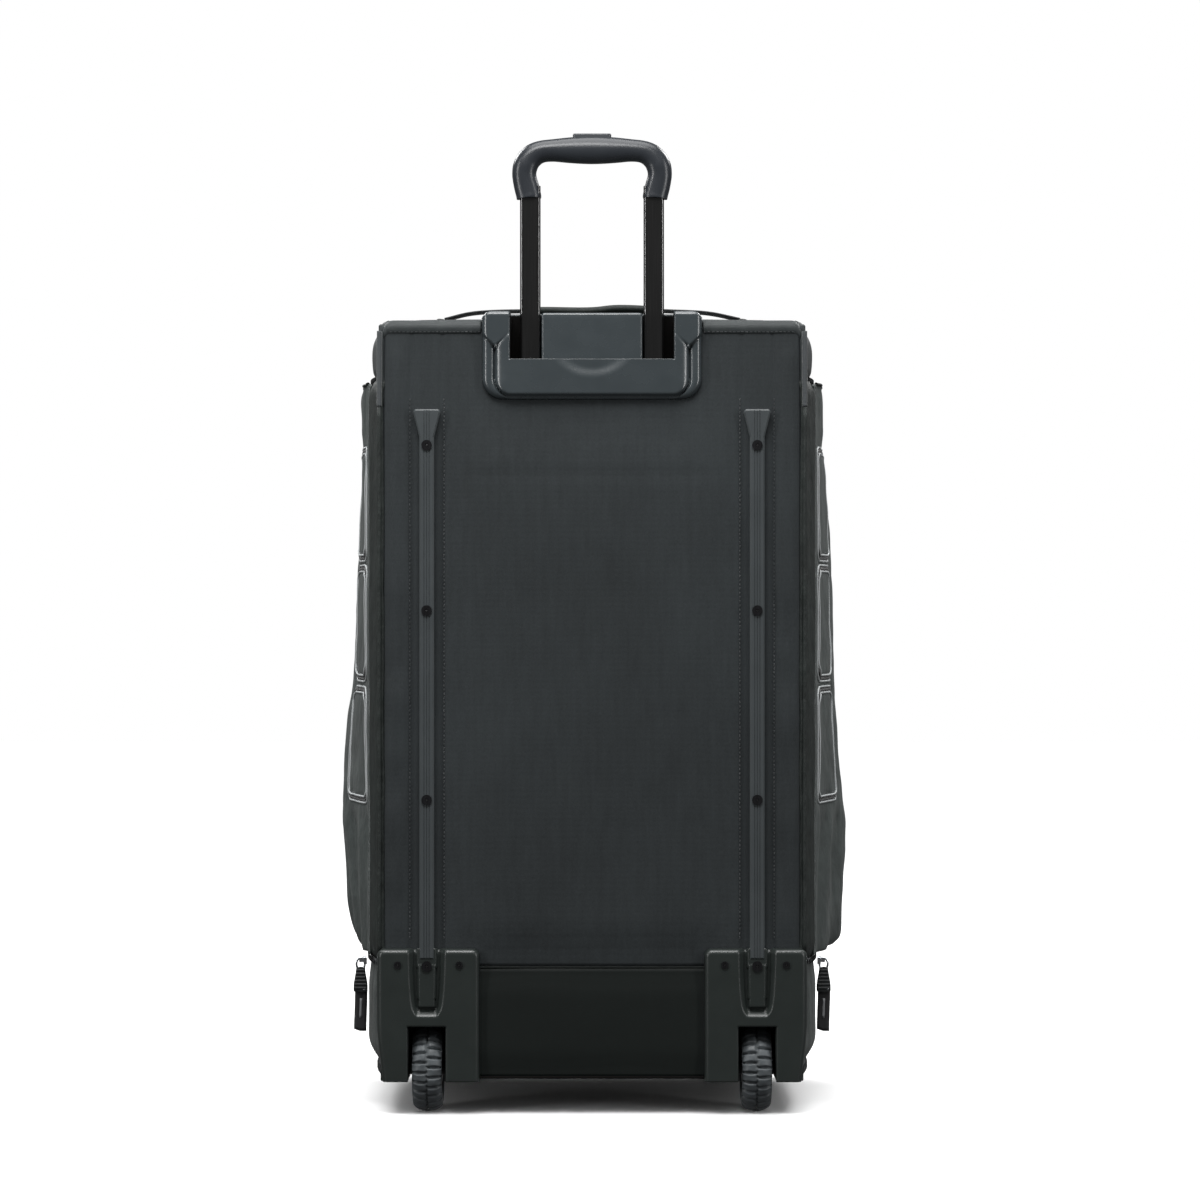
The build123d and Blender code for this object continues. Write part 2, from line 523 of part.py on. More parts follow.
def lock_pin():
    """Spring pin: forked over the cam plate, with a cross peg in the plate's slanted slot."""
    pin = cylinder_x(PIN_TAIL, PIN_TIP, 0, PIN_Z, PIN_R)
    pin = chamfer(pin.faces().sort_by(Axis.X)[-1].edges(), 0.8)
    pin -= block(PIN_TAIL - 1, 6.8, -1.0, 1.0, PIN_Z - 5, PIN_Z + 5)
    pin += cylinder_y(0, -2.0, 2.0, PIN_Z, PEG_R)
    return Pos(TUBE_X, TUBE_Y, 0) * pin


def push_rods():
    """Yoke in the grip, one rod down each tube, and a cam plate at each rod's end."""
    plate = block(-5, 3, -0.8, 0.8, PIN_Z - 6, PIN_Z + 12)
    angle = 36.87                      # the slot leans by the pin's travel over the button's
    slot = Pos(-PIN_TRAVEL / 2, 0, PIN_Z + BUTTON_TRAVEL / 2) * Rot(0, -angle, 0)
    cutter = slot * extrude(Plane.XZ * SlotCenterToCenter(5.2, 2 * PEG_R + 0.3, rotation=90), 2, both=True)
    rod = cylinder_z(0, 0, PIN_Z + 12, YOKE_Z + 1, ROD_R)
    right = Pos(TUBE_X, TUBE_Y, 0) * (plate - cutter + rod)
    yoke = block(-TUBE_X - 3, TUBE_X + 3, TUBE_Y - 3, TUBE_Y + 3, YOKE_Z, YOKE_Z + YOKE_T)
    return yoke + right + left_of(right)


# ---------------------------------------------------------------- grip and button
def grip():
    """One-piece outline of the hand grip, rounded all round, with its sockets and inner space."""
    outer_x, neck_x, leg_in, leg_out = 78.9, 53.9, 49.3, 74.7
    shoulder_z, bar_z, inner_r, outer_r = 946.0, 956.0, 12.0, 32.0
    half = [
        Spline((leg_out, GRIP_LEG_Z), (outer_x, shoulder_z), tangents=((0.25, 1), (0, 1))),
        RadiusArc((outer_x, shoulder_z), (outer_x - outer_r, shoulder_z + outer_r), -outer_r),
        Spline((outer_x - outer_r, shoulder_z + outer_r), (0, GRIP_TOP_Z), tangents=((-1, 0), (-1, 0))),
        Spline((0, bar_z - 1.5), (neck_x - inner_r, bar_z), tangents=((1, 0), (1, 0))),
        RadiusArc((neck_x, bar_z - inner_r), (neck_x - inner_r, bar_z), -inner_r),
        Spline((leg_in, GRIP_LEG_Z), (neck_x, bar_z - inner_r), tangents=((0.1, 1), (0, 1))),
        Line((leg_in, GRIP_LEG_Z), (leg_out, GRIP_LEG_Z)),
    ]
    edges = half + [edge.mirror(Plane.YZ) for edge in half]
    face = Face(Wire([Plane.XZ.from_local_coords(edge) for edge in edges]))
    body = Pos(0, TUBE_Y, 0) * extrude(face, GRIP_DEPTH / 2, dir=(0, 1, 0), both=True)
    front_back = body.faces().filter_by(Axis.Y).edges()
    body = fillet(front_back, 8)

    for side in (-1, 1):
        x = side * TUBE_X
        w, d = INNER_TUBE[0] + 0.1, INNER_TUBE[1] + 0.1
        body -= block(x - w / 2, x + w / 2, TUBE_Y - d / 2, TUBE_Y + d / 2, 900, INNER_TUBE_Z1 + 0.1)
        body -= block(x - 4, x + 4, TUBE_Y - 4, TUBE_Y + 4, INNER_TUBE_Z1 - 1, CAVITY_Z1)
    body -= block(-TUBE_X - 4, TUBE_X + 4, TUBE_Y - 4, TUBE_Y + 4, CAVITY_Z0, CAVITY_Z1)
    body -= block(-BUTTON_HALF_X - 0.5, BUTTON_HALF_X + 0.5, TUBE_Y - BUTTON_HALF_Y - 0.5,
                  TUBE_Y + BUTTON_HALF_Y + 0.5, YOKE_Z - 0.5, 1000)
    return body - cylinder_z(0, TUBE_Y, 957.2, 970, 4.5)


def release_button():
    cap = block(-BUTTON_HALF_X, BUTTON_HALF_X, TUBE_Y - BUTTON_HALF_Y, TUBE_Y + BUTTON_HALF_Y,
                YOKE_Z + YOKE_T, BUTTON_TOP_Z)
    cap = fillet(cap.edges().filter_by(Axis.Z), 3)
    return fillet(cap.faces().sort_by(Axis.Z)[-1].edges(), 1.2)


def button_spring():
    """Coil spring between the grip's inner floor and the yoke."""
    wire, coil_r, floor_z = 0.45, 3.3, 957.2
    height = YOKE_Z - floor_z - 2 * wire - 0.1
    path = Helix(pitch=height / 4, height=height, radius=coil_r)
    section = Plane(path @ 0, z_dir=path % 0) * Circle(wire)
    return Pos(0, TUBE_Y, floor_z + wire + 0.05) * sweep(section, path, is_frenet=True)


# ---------------------------------------------------------------- lid, door, flap
def lid_top():
    return board(LID_HALF, LID_BACK_HALF, 0, LID_HINGE_Y, FRONT_Y, LID_TOP_Z - WALL, LID_TOP_Z)


def lid_skirt():
    wall = ring(LID_HALF, LID_BACK_HALF, 5, LID_BOTTOM_Z, LID_TOP_Z - WALL)
    return wall & block(-300, 300, LID_HINGE_Y, 300, 0, 900)


def top_handle():
    """Padded carry strap, arched over the lid, both ends stitched down."""
    half_x, half_y, rise, t = 160.0, 19.0, 20.0, 7.0
    over = ThreePointArc((-half_x, LID_TOP_Z + 0.1), (0, LID_TOP_Z + rise), (half_x, LID_TOP_Z + 0.1))
    under = ThreePointArc((half_x - 26, LID_TOP_Z + 0.1), (0, LID_TOP_Z + rise - t), (-half_x + 26, LID_TOP_Z + 0.1))
    ends = [Line((-half_x, LID_TOP_Z + 0.1), (-half_x + 26, LID_TOP_Z + 0.1)),
            Line((half_x - 26, LID_TOP_Z + 0.1), (half_x, LID_TOP_Z + 0.1))]
    face = Face(Wire([over, under] + ends))
    return extrude(Plane.XZ * face, half_y, both=True)


def door_slab(grow, y0, y1):
    """The ball door's outline, grown all round, between two depths."""
    z0, z1 = BODY_BOTTOM_Z + 4, 622.0
    slab = rounded_slab(-DOOR_HALF - grow, DOOR_HALF + grow, z0 - 80, z1 + grow, y0, y1, 25 + grow)
    return slab & block(-300, 300, -300, 300, z0, 900)


def ball_door():
    return door_slab(0, FRONT_Y - 7.5, FRONT_Y)


def front_pocket():
    """Padded pocket on the ball door."""
    pad = rounded_slab(-138, 138, 205, 575, FRONT_Y + 0.2, 172.0, 42)
    return fillet(pad.faces().sort_by(Axis.Y)[-1].edges(), 26)


def shoe_flap():
    return block(-DOOR_HALF, DOOR_HALF, BASE_FRONT_Y - WALL, BASE_FRONT_Y, TRAY_Z + TRAY_T + 2, BASE_TOP_Z)


# ---------------------------------------------------------------- zips
def lower_zip():
    chain = ring(BODY_HALF - 1, BODY_BACK_HALF - 1, ZIP_T, BASE_TOP_Z + GAP, BODY_BOTTOM_Z - GAP, FRONT_Y - 1)
    return chain & block(-300, 300, LOWER_SLIDER_Y - 15, 300, 0, 900)


def lid_zip():
    chain = ring(BODY_HALF - 4, BODY_BACK_HALF - 4, ZIP_T, BODY_TOP_Z + GAP, LID_BOTTOM_Z - GAP, FRONT_Y - 1)
    return chain & block(-300, 300, LID_HINGE_Y, 300, 0, 900)


def door_zip():
    return door_slab(3.3, FRONT_Y - 4, FRONT_Y - 1) - door_slab(0.3, FRONT_Y - 10, FRONT_Y + 10)


def zip_slider():
    """Slider on a wall that faces +X: body, two cheeks and the cross pin, origin on the zip."""
    body = block(0.3, 3.6, -5, 5, -4, 4)
    body = fillet(body.edges().filter_by(Axis.X), 1.5)
    for side in (-1, 1):
        y0, y1 = sorted((side * 2.6, side * 4.0))
        body += block(3.4, PIN_OFFSET + 1.4, y0, y1, -1.8, 1.8)
    return body + cylinder_y(PIN_OFFSET, -4, 4, 0, 1.0)


def zip_link():
    """Metal eye and shank, hanging from the slider's pin."""
    eye = cylinder_y(PIN_OFFSET, -2.2, 2.2, 0, 2.5)
    shank = block(PIN_OFFSET - 1.2, PIN_OFFSET + 1.2, -2.2, 2.2, -9, -1.5)
    return eye + shank - cylinder_y(PIN_OFFSET, -3, 3, 0, 1.15)


def ribbed_tab(length=40.0, width=12.0):
    """Moulded rubber tab with ribs across it, wide along X, under the link."""
    x = PIN_OFFSET
    tab = block(x - width / 2, x + width / 2, -2.0, 2.0, -9 - length, -9)
    tab = fillet(tab.edges().filter_by(Axis.Y), 2.5)
    for k in range(6):
        z = -16 - 4.5 * k
        for y0, y1 in ((-3, -1.5), (1.5, 3)):
            tab -= block(x - width / 2 + 1.5, x + width / 2 - 1.5, y0, y1, z - 1.2, z)
    return tab


def zip_pull_with_ribbon():
    """Link, ribbed tab, and a folded ribbon behind it."""
    x = PIN_OFFSET
    ribbon = block(x - 6, x + 6, -4.4, -2.4, -72, -9.5)
    return [zip_link(), ribbed_tab(), ribbon]


def zip_pull_flat():
    """Link and a ribbed tab turned flat to the wall."""
    tab = Pos(PIN_OFFSET, 0, 0) * Rot(0, 0, 90) * Pos(-PIN_OFFSET, 0, 0) * ribbed_tab(length=32, width=10)
    return [zip_link(), tab]


def placed(shapes, where):
    """Each of the shapes, moved to its place."""
    return [where * shape for shape in shapes]


# ---------------------------------------------------------------- writing the parts
def group(shapes):
    """Separate solids in one node."""
    return Compound(children=list(shapes))


def main():
    wall_lower = wall_x(BODY_HALF, BODY_BACK_HALF, LOWER_SLIDER_Y)
    lean = degrees(atan2(BODY_HALF - wall_lower, FLARE_Y - LOWER_SLIDER_Y))
    print(f"lower slider's chord leans {lean:.3f} degrees, starts at x = {wall_lower + LOWER_SLIDER_OFF:.2f}")
    lower = Pos(wall_lower + LOWER_SLIDER_OFF, LOWER_SLIDER_Y, LOWER_ZIP_Z) * Rot(0, 0, -lean)
    lid_at = Pos(LID_SLIDER_X, FRONT_Y + 1, LID_ZIP_Z) * Rot(0, 0, 90)
    door_at = Pos(DOOR_HALF + 1.8, FRONT_Y, DOOR_SLIDER_Z) * Rot(0, 0, 90)

    parts = {
        "back_panel": back_panel(),
        "lower_back_panel": lower_back_panel(),
        "front_upper_panel": front_upper_panel(),
        "top_rear_corners": group(both_sides([top_rear_corner()])),
        "compartment_floor": compartment_floor(),
        "ball_shelf": ball_shelf(),
        "upper_shelf": upper_shelf(),
        "ball_cups": group(ball_cups()),
        "base_tray": base_tray(),
        "wheel_axles": group(wheel_axles()),
        "wheel_spacers": group(wheel_spacers()),
        "screws": group(screws()),
        "trolley_bezel": trolley_bezel(),
        "tube_guides": group(tube_guides()),
        "tube_foot_bracket": tube_foot_bracket(),
        "front_feet": group(front_feet()),
        "zip_chains": group([lower_zip(), lid_zip(), door_zip()]),
        "grip": grip(),
        "tube_plugs": group(both_sides([tube_plug()])),
        "release_button": release_button(),
        "push_rods": push_rods(),
        "button_spring": button_spring(),
        "lid_top": lid_top(),
        "lid_skirt": lid_skirt(),
        "top_handle": top_handle(),
        "ball_door": ball_door(),
        "front_pocket": front_pocket(),
        "shoe_flap": shoe_flap(),
        "zip_slider_door": door_at * zip_slider(),
        "zip_pull_door": group(placed(zip_pull_flat(), door_at)),
        "zip_pull_lid_right": group(placed(zip_pull_flat(), lid_at)),
        "zip_pull_lid_left": group(left_of(s) for s in placed(zip_pull_flat(), lid_at)),
        "zip_pull_lower_right": group(placed(zip_pull_with_ribbon(), lower)),
        "zip_pull_lower_left": group(left_of(s) for s in placed(zip_pull_with_ribbon(), lower)),
    }
    pairs = {
        "zip_slider_lower": lower * zip_slider(),
        "zip_slider_lid": lid_at * zip_slider(),
        "side_panel": side_panel(),
        "base_wall": base_wall(),
        "side_pocket": side_pocket(),
        "wheel_housing": wheel_housing(),
        "skid_rail": skid_rail(),
        "outer_tube": outer_tube(),
        "inner_tube": inner_tube(),
        "lock_pin": lock_pin(),
        "tyre": tyre(),
        "hub": hub(),
    }
    for name, right in pairs.items():
        parts[f"{name}_right"] = right
        parts[f"{name}_left"] = left_of(right)
    parts["bearings_right"] = group(bearings())
    parts["bearings_left"] = group(left_of(b) for b in bearings())

    os.makedirs("parts", exist_ok=True)
    for name, shape in parts.items():
        export_step(shape, f"parts/{name}.step")
    print(len(parts), "nodes")


main()
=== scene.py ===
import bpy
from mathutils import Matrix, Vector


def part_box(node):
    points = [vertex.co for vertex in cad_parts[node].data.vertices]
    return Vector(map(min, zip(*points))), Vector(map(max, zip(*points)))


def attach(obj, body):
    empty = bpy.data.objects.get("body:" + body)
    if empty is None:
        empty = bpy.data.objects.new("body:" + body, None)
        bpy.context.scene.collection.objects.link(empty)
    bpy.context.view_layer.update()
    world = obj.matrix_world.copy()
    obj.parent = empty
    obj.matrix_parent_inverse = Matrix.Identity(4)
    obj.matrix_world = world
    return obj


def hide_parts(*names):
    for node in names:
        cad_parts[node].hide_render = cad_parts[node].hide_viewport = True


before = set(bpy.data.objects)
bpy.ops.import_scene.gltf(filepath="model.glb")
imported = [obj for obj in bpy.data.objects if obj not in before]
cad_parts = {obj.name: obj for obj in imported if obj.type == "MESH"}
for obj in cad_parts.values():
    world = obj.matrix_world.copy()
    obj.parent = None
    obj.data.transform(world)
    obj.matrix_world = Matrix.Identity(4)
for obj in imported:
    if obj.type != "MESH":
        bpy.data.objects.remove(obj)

"""Looks of a rolling bowling bag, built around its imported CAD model.

Metres, +Z up. -Y is the wheel and handle side, which the camera sees. +Y has the ball door.
"""
import math

import bmesh
import bpy
from mathutils import Vector, noise

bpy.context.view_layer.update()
RIGHT_LEFT = (("right", 1), ("left", -1))
ACROSS, AWAY, UP = Vector((1, 0, 0)), Vector((0, 1, 0)), Vector((0, 0, 1))
MIDDLE = Vector((0, 0, 0.45))             # inside the bag, which its outer sheets face away from


# ---------------------------------------------------------------- places, from the frame
def low(node):
    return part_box(node)[0]


def high(node):
    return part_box(node)[1]


BACK_Y = low("back_panel").y
BACK_HALF = high("back_panel").x
BACK_TOP = high("back_panel").z
SEAM_Z = low("back_panel").z              # seam between the back panel and the lower panel
BODY_HALF = high("side_panel_right").x
BODY_BOTTOM, BODY_TOP = low("side_panel_right").z, high("side_panel_right").z
BODY_FRONT = high("side_panel_right").y
POST_X = low("side_panel_right").x        # where the side panels end on the front
LID_HALF, LID_TOP = high("lid_top").x, high("lid_top").z
LID_BOTTOM = low("lid_skirt").z
HINGE_Y = low("lid_top").y
BASE_HALF = high("base_wall_right").x
BASE_BOTTOM, BASE_TOP = low("base_wall_right").z, high("base_wall_right").z
BASE_FRONT = high("base_wall_right").y
RAIL_X = (low("skid_rail_right").x + high("skid_rail_right").x) / 2
RAIL_TOP = high("skid_rail_right").z
BEZEL_HALF, BEZEL_BOTTOM = high("trolley_bezel").x, low("trolley_bezel").z
FLARE_Y = -0.030                          # the sides flare out from the back edge up to here
CORNER_R = 0.060
BACK_DROP = BODY_HALF - 0.212             # how far the sides come in at the back edge


# ---------------------------------------------------------------- camera
CAMERA_DISTANCE, CAMERA_HEIGHT, CAMERA_ASIDE = 3.5, 0.5145, 0.008


def make_camera():
    """Level, straight on, far away, as product cameras stand."""
    data = bpy.data.cameras.new("camera")
    data.lens, data.sensor_width = 105.0, 36.0
    data.clip_end = 100.0
    camera = bpy.data.objects.new("camera", data)
    camera.location = (CAMERA_ASIDE, BACK_Y - CAMERA_DISTANCE, CAMERA_HEIGHT)
    camera.rotation_euler = (math.radians(90), 0, 0)
    bpy.context.collection.objects.link(camera)
    bpy.context.scene.camera = camera


make_camera()


# ---------------------------------------------------------------- materials
class Nodes:
    """A small helper that adds nodes to one material."""

    def __init__(self, name):
        self.material = bpy.data.materials.new(name)
        self.material.use_nodes = True
        self.tree = self.material.node_tree
        self.shader = self.tree.nodes["Principled BSDF"]
        self.place = self.add("ShaderNodeTexCoord").outputs["Object"]

    def add(self, kind, **settings):
        node = self.tree.nodes.new(kind)
        for key, value in settings.items():
            setattr(node, key, value)
        return node

    def link(self, a, b):
        self.tree.links.new(a, b)

    def noise(self, scale, detail=3.0, stretch=None):
        node = self.add("ShaderNodeTexNoise")
        node.inputs["Scale"].default_value = scale
        node.inputs["Detail"].default_value = detail
        source = self.place
        if stretch:
            mapping = self.add("ShaderNodeMapping")
            mapping.inputs["Scale"].default_value = stretch
            self.link(source, mapping.inputs["Vector"])
            source = mapping.outputs["Vector"]
        self.link(source, node.inputs["Vector"])
        return node.outputs["Fac"]

    def bands(self, axis, period, distort=0.0):
        """Ridges across one axis, a sine of the given period."""
        node = self.add("ShaderNodeTexWave", wave_type="BANDS", bands_direction=axis)
        node.inputs["Scale"].default_value = 2 * math.pi / (20 * period)
        node.inputs["Distortion"].default_value = distort
        node.inputs["Detail"].default_value = 1.0
        node.inputs["Detail Scale"].default_value = 2.0
        self.link(self.place, node.inputs["Vector"])
        return node.outputs["Fac"]

    def math(self, operation, a, b):
        node = self.add("ShaderNodeMath", operation=operation)
        for socket, value in zip(node.inputs, (a, b)):
            if isinstance(value, (int, float)):
                socket.default_value = value
            else:
                self.link(value, socket)
        return node.outputs[0]

    def ramp(self, fac, lo, hi, start=0.3, end=0.7):
        """A colour that runs from lo to hi."""
        node = self.add("ShaderNodeValToRGB")
        node.color_ramp.elements[0].position = start
        node.color_ramp.elements[1].position = end
        node.color_ramp.elements[0].color = (*lo, 1)
        node.color_ramp.elements[1].color = (*hi, 1)
        self.link(fac, node.inputs["Fac"])
        return node.outputs["Color"]

    def bump(self, height, strength, distance, under=None):
        node = self.add("ShaderNodeBump")
        node.inputs["Strength"].default_value = strength
        node.inputs["Distance"].default_value = distance
        self.link(height, node.inputs["Height"])
        if under:
            self.link(under, node.inputs["Normal"])
        return node.outputs["Normal"]

    def set(self, **values):
        for key, value in values.items():
            self.shader.inputs[key.replace("_", " ")].default_value = value


def shade(colour, factor):
    return tuple(min(1.0, c * factor) for c in colour)


def fabric(name, colour, yarn=0.0011, depth=0.00025, rough=0.8, sheen=0.25, mottle=0.10, lustre=0.35,
           crinkle=0.0):
    """Woven cloth: crossing yarns, fine fuzz, and slow changes of tone; with crinkle above 0.001, also
    painted shade and light of the crinkles, from the same noise as their bump.
    """
    n = Nodes(name)
    weave = n.math("ADD", n.math("ADD", n.bands("X", yarn, 1.2), n.bands("Y", yarn, 1.2)),
                   n.bands("Z", yarn * 0.93, 1.2))
    fuzz = n.noise(1400, 2.0)
    height = n.math("ADD", n.math("MULTIPLY", weave, 0.5), n.math("MULTIPLY", fuzz, 0.8))
    mottle_and_crease_shade = n.math("ADD", n.noise(5.0, 4.0), n.math("MULTIPLY", n.noise(160, 2.0, (1, 1, 0.12)), 0.35))
    crease_bump_and_shade = n.noise(62, 6.0, (1, 1, 0.6)) if crinkle else None
    # crinkled cloth: its tone follows the crease noise too, painting shade into the crinkles' hollows and
    # light onto their ridges
    if crinkle > 0.001:
        mottle_and_crease_shade = n.math("ADD", n.math("MULTIPLY", mottle_and_crease_shade, 0.45), n.math("MULTIPLY", crease_bump_and_shade, 0.75))
    grain = n.noise(420, 3.0)
    fine = n.math("MULTIPLY", n.math("ADD", fuzz, grain), 0.22)
    tone = n.math("ADD", n.math("MULTIPLY", mottle_and_crease_shade, 0.60), fine)
    n.link(n.ramp(tone, shade(colour, 1 - mottle), shade(colour, 1 + mottle), 0.46, 0.76),
           n.shader.inputs["Base Color"])
    n.link(n.math("ADD", n.math("MULTIPLY", fuzz, 0.16), rough - 0.08), n.shader.inputs["Roughness"])
    normal = n.bump(height, 0.6, depth)
    if crinkle:
        normal = n.bump(crease_bump_and_shade, 0.85, crinkle, normal)
    n.link(normal, n.shader.inputs["Normal"])
    n.set(Sheen_Weight=sheen, Sheen_Roughness=0.45, Specular_IOR_Level=lustre)
    return n.material


def plastic(name, colour, rough=0.42, grain=0.00012, grain_size=1500, mottle=0.05, specular=0.45):
    """Moulded plastic with a spark-eroded grain and slight scuffs."""
    n = Nodes(name)
    fine = n.noise(grain_size, 2.0)
    scuff = n.noise(38, 6.0)
    n.link(n.ramp(scuff, shade(colour, 1 - mottle), shade(colour, 1 + mottle)),
           n.shader.inputs["Base Color"])
    n.link(n.math("ADD", n.math("MULTIPLY", scuff, 0.14), rough - 0.07), n.shader.inputs["Roughness"])
    n.link(n.bump(fine, 0.5, grain), n.shader.inputs["Normal"])
    n.set(Specular_IOR_Level=specular)
    return n.material


def metal(name, colour, rough=0.3, streak=0.25, metallic=1.0):
    """Metal with fine streaks along Z."""
    n = Nodes(name)
    streaks = n.noise(900, 2.0, (1, 1, 0.02))
    n.link(n.ramp(streaks, shade(colour, 0.9), shade(colour, 1.1)), n.shader.inputs["Base Color"])
    n.link(n.math("ADD", n.math("MULTIPLY", streaks, streak), rough - streak / 2),
           n.shader.inputs["Roughness"])
    n.set(Metallic=metallic)
    return n.material


def gloss(name, colour):
    """Black anodised and lacquered tube."""
    n = Nodes(name)
    streaks = n.noise(900, 2.0, (1, 1, 0.02))
    n.link(n.ramp(streaks, shade(colour, 0.8), shade(colour, 1.25)), n.shader.inputs["Base Color"])
    n.link(n.math("ADD", n.math("MULTIPLY", streaks, 0.08), 0.14), n.shader.inputs["Roughness"])
    n.set(Specular_IOR_Level=0.9, Coat_Weight=0.5, Coat_Roughness=0.08)
    return n.material


def rubber(name, colour, rough=0.6):
    n = Nodes(name)
    dust = n.noise(60, 6.0)
    n.link(n.ramp(dust, shade(colour, 0.8), shade(colour, 1.3)), n.shader.inputs["Base Color"])
    n.link(n.math("ADD", n.math("MULTIPLY", dust, 0.2), rough - 0.1), n.shader.inputs["Roughness"])
    n.link(n.bump(n.noise(700, 3.0), 0.35, 0.0002), n.shader.inputs["Normal"])
    n.set(Specular_IOR_Level=0.35)
    return n.material


MATERIALS = {
    "back": fabric("back_cloth", (0.0198, 0.0238, 0.0256),
                   yarn=0.0013, rough=0.76, sheen=0.03, mottle=0.26, lustre=0.25, crinkle=0.0006),
    "lower": fabric("lower_cloth", (0.0058, 0.0080, 0.0072),
                    yarn=0.0008, depth=0.0001, rough=0.62, sheen=0.01, lustre=0.2),
    "body": fabric("body_cloth", (0.0092, 0.0130, 0.0117),
                   yarn=0.0010, rough=0.60, sheen=0.0, mottle=0.38, crinkle=0.0042),
    "pocket": fabric("pocket_cloth", (0.0400, 0.0495, 0.0475),
                     yarn=0.0008, depth=0.00015, rough=0.42, sheen=0.05, lustre=0.8, mottle=0.30,
                     crinkle=0.0036),
    "lid": fabric("lid_cloth", (0.0240, 0.0290, 0.0300),
                  yarn=0.0010, rough=0.56, sheen=0.04, crinkle=0.0014),
    "door": fabric("door_cloth", (0.0270, 0.0320, 0.0330),
                   yarn=0.0010, rough=0.62, sheen=0.04, crinkle=0.0012),
    "piping": fabric("reflective_piping", (0.37, 0.39, 0.395),
                     yarn=0.0009, rough=0.45, sheen=0.1, lustre=0.6),
    "binding": fabric("grosgrain_binding", (0.045, 0.051, 0.054), yarn=0.0016, depth=0.0003, rough=0.7),
    "thread": fabric("sewing_thread", (0.030, 0.033, 0.036), yarn=0.0006, rough=0.6),
    "lining": fabric("lining_cloth", (0.020, 0.021, 0.023), yarn=0.0009, rough=0.8, crinkle=0.001),
    "foam": fabric("closed_cell_foam", (0.035, 0.036, 0.040), yarn=0.0021, depth=0.0002, rough=0.9),
    "webbing": fabric("webbing", (0.016, 0.018, 0.019), yarn=0.0019, depth=0.0005, rough=0.62, sheen=0.2),
    "ribbon": fabric("ribbon", (0.006, 0.006, 0.0065), yarn=0.0010, depth=0.0003, rough=0.6),
    "ribbon_mark": fabric("ribbon_mark", (0.16, 0.165, 0.17), yarn=0.0010, depth=0.0002, rough=0.6),
    "zip": plastic("zip_coil", (0.010, 0.011, 0.012), rough=0.4),
    "tray": plastic("tray_plastic", (0.012, 0.0125, 0.013), rough=0.5),
    "housing": plastic("housing_plastic", (0.0195, 0.0240, 0.0225),
                       rough=0.34, grain=0.0002, grain_size=1100),
    "rail": plastic("rail_plastic", (0.049, 0.056, 0.059), rough=0.32, specular=0.6),
    # lighter than the housing plastic: partly its own grey-blue, partly painted light for its place at the
    # top of the bag
    "bezel": plastic("bezel_plastic", (0.034, 0.042, 0.046),
                     rough=0.27, grain=0.0001, grain_size=1300, specular=0.75),
    "nylon": plastic("nylon_parts", (0.02, 0.02, 0.021), rough=0.5),
    # near-black painted shadow, put in the handle's wells and along the lower back's bottom edge, where
    # there is only shade
    "shadow": plastic("painted_shadow_black", (0.0035, 0.0032, 0.0030), rough=0.8, specular=0.05),
    # bright metal for the screws' cross recesses: a painted highlight
    "recess": metal("painted_highlight_recess", (0.16, 0.16, 0.165), rough=0.4),
    "grip": plastic("grip_plastic", (0.021, 0.0240, 0.0285), rough=0.30, grain=0.0001, grain_size=1900),
    "button": plastic("button_plastic", (0.040, 0.044, 0.049), rough=0.35),
    "hub": plastic("hub_plastic", (0.014, 0.015, 0.016), rough=0.45),
    "tube": gloss("black_anodised", (0.0058, 0.0058, 0.0058)),
    "steel": metal("bright_steel", (0.55, 0.55, 0.55), rough=0.28),
    "zip_metal": metal("nickel_plate", (0.60, 0.62, 0.65), rough=0.22, streak=0.1),
    "screw": metal("black_oxide", (0.020, 0.020, 0.022), rough=0.36, metallic=0.7),
    "tyre": rubber("tyre_rubber", (0.064, 0.072, 0.077), rough=0.45),
    "pull": rubber("pull_rubber", (0.012, 0.0135, 0.014), rough=0.45),
}


# ---------------------------------------------------------------- mesh helpers
def dress(obj, material, body):
    """Material and body of a finished piece."""
    obj.data.materials.clear()
    obj.data.materials.append(MATERIALS[material])
    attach(obj, body)
    return obj


def build(name, verts, faces, smooth=True):
    mesh = bpy.data.meshes.new(name)
    mesh.from_pydata([tuple(v) for v in verts], [], faces)
    mesh.validate()
    mesh.polygons.foreach_set("use_smooth", [smooth] * len(mesh.polygons))
    obj = bpy.data.objects.new(name, mesh)
    bpy.context.collection.objects.link(obj)
    return obj


def face_away(obj, middle=MIDDLE):
    """Turns a sheet's faces away from a place, the bag's middle unless told."""
    mesh = obj.data
    total = sum(p.normal.dot(p.center - middle) * p.area for p in mesh.polygons)
    if total < 0:
        mesh.flip_normals()
    return obj


def face_out(obj):
    """Makes the faces of closed shapes look outward."""
    work = bmesh.new()
    work.from_mesh(obj.data)
    bmesh.ops.recalc_face_normals(work, faces=work.faces)
    work.to_mesh(obj.data)
    work.free()
    return obj


def grid(name, rows, closed=False, skip=None):
    """A sheet through rows of points. skip(i, j) leaves a cell out."""
    width = len(rows[0])
    verts = [p for row in rows for p in row]
    faces = []
    for i in range(len(rows) - 1):
        for j in range(width if closed else width - 1):
            if skip and skip(i, j):
                continue
            k = (j + 1) % width
            faces.append((i * width + j, i * width + k, (i + 1) * width + k, (i + 1) * width + j))
    return build(name, verts, faces)


def apply_modifiers(obj):
    """Turns the modified shape into the piece's own mesh."""
    bpy.context.view_layer.update()
    shown = obj.evaluated_get(bpy.context.evaluated_depsgraph_get())
    mesh = bpy.data.meshes.new_from_object(shown)
    obj.modifiers.clear()
    obj.data = mesh
    return obj


def thicken(obj, thickness, middle=MIDDLE):
    """Gives a sheet its thickness, behind its face."""
    face_away(obj, middle)
    solid = obj.modifiers.new("thickness", "SOLIDIFY")
    solid.thickness = thickness
    solid.offset = -1.0
    solid.use_even_offset = False
    return apply_modifiers(obj)


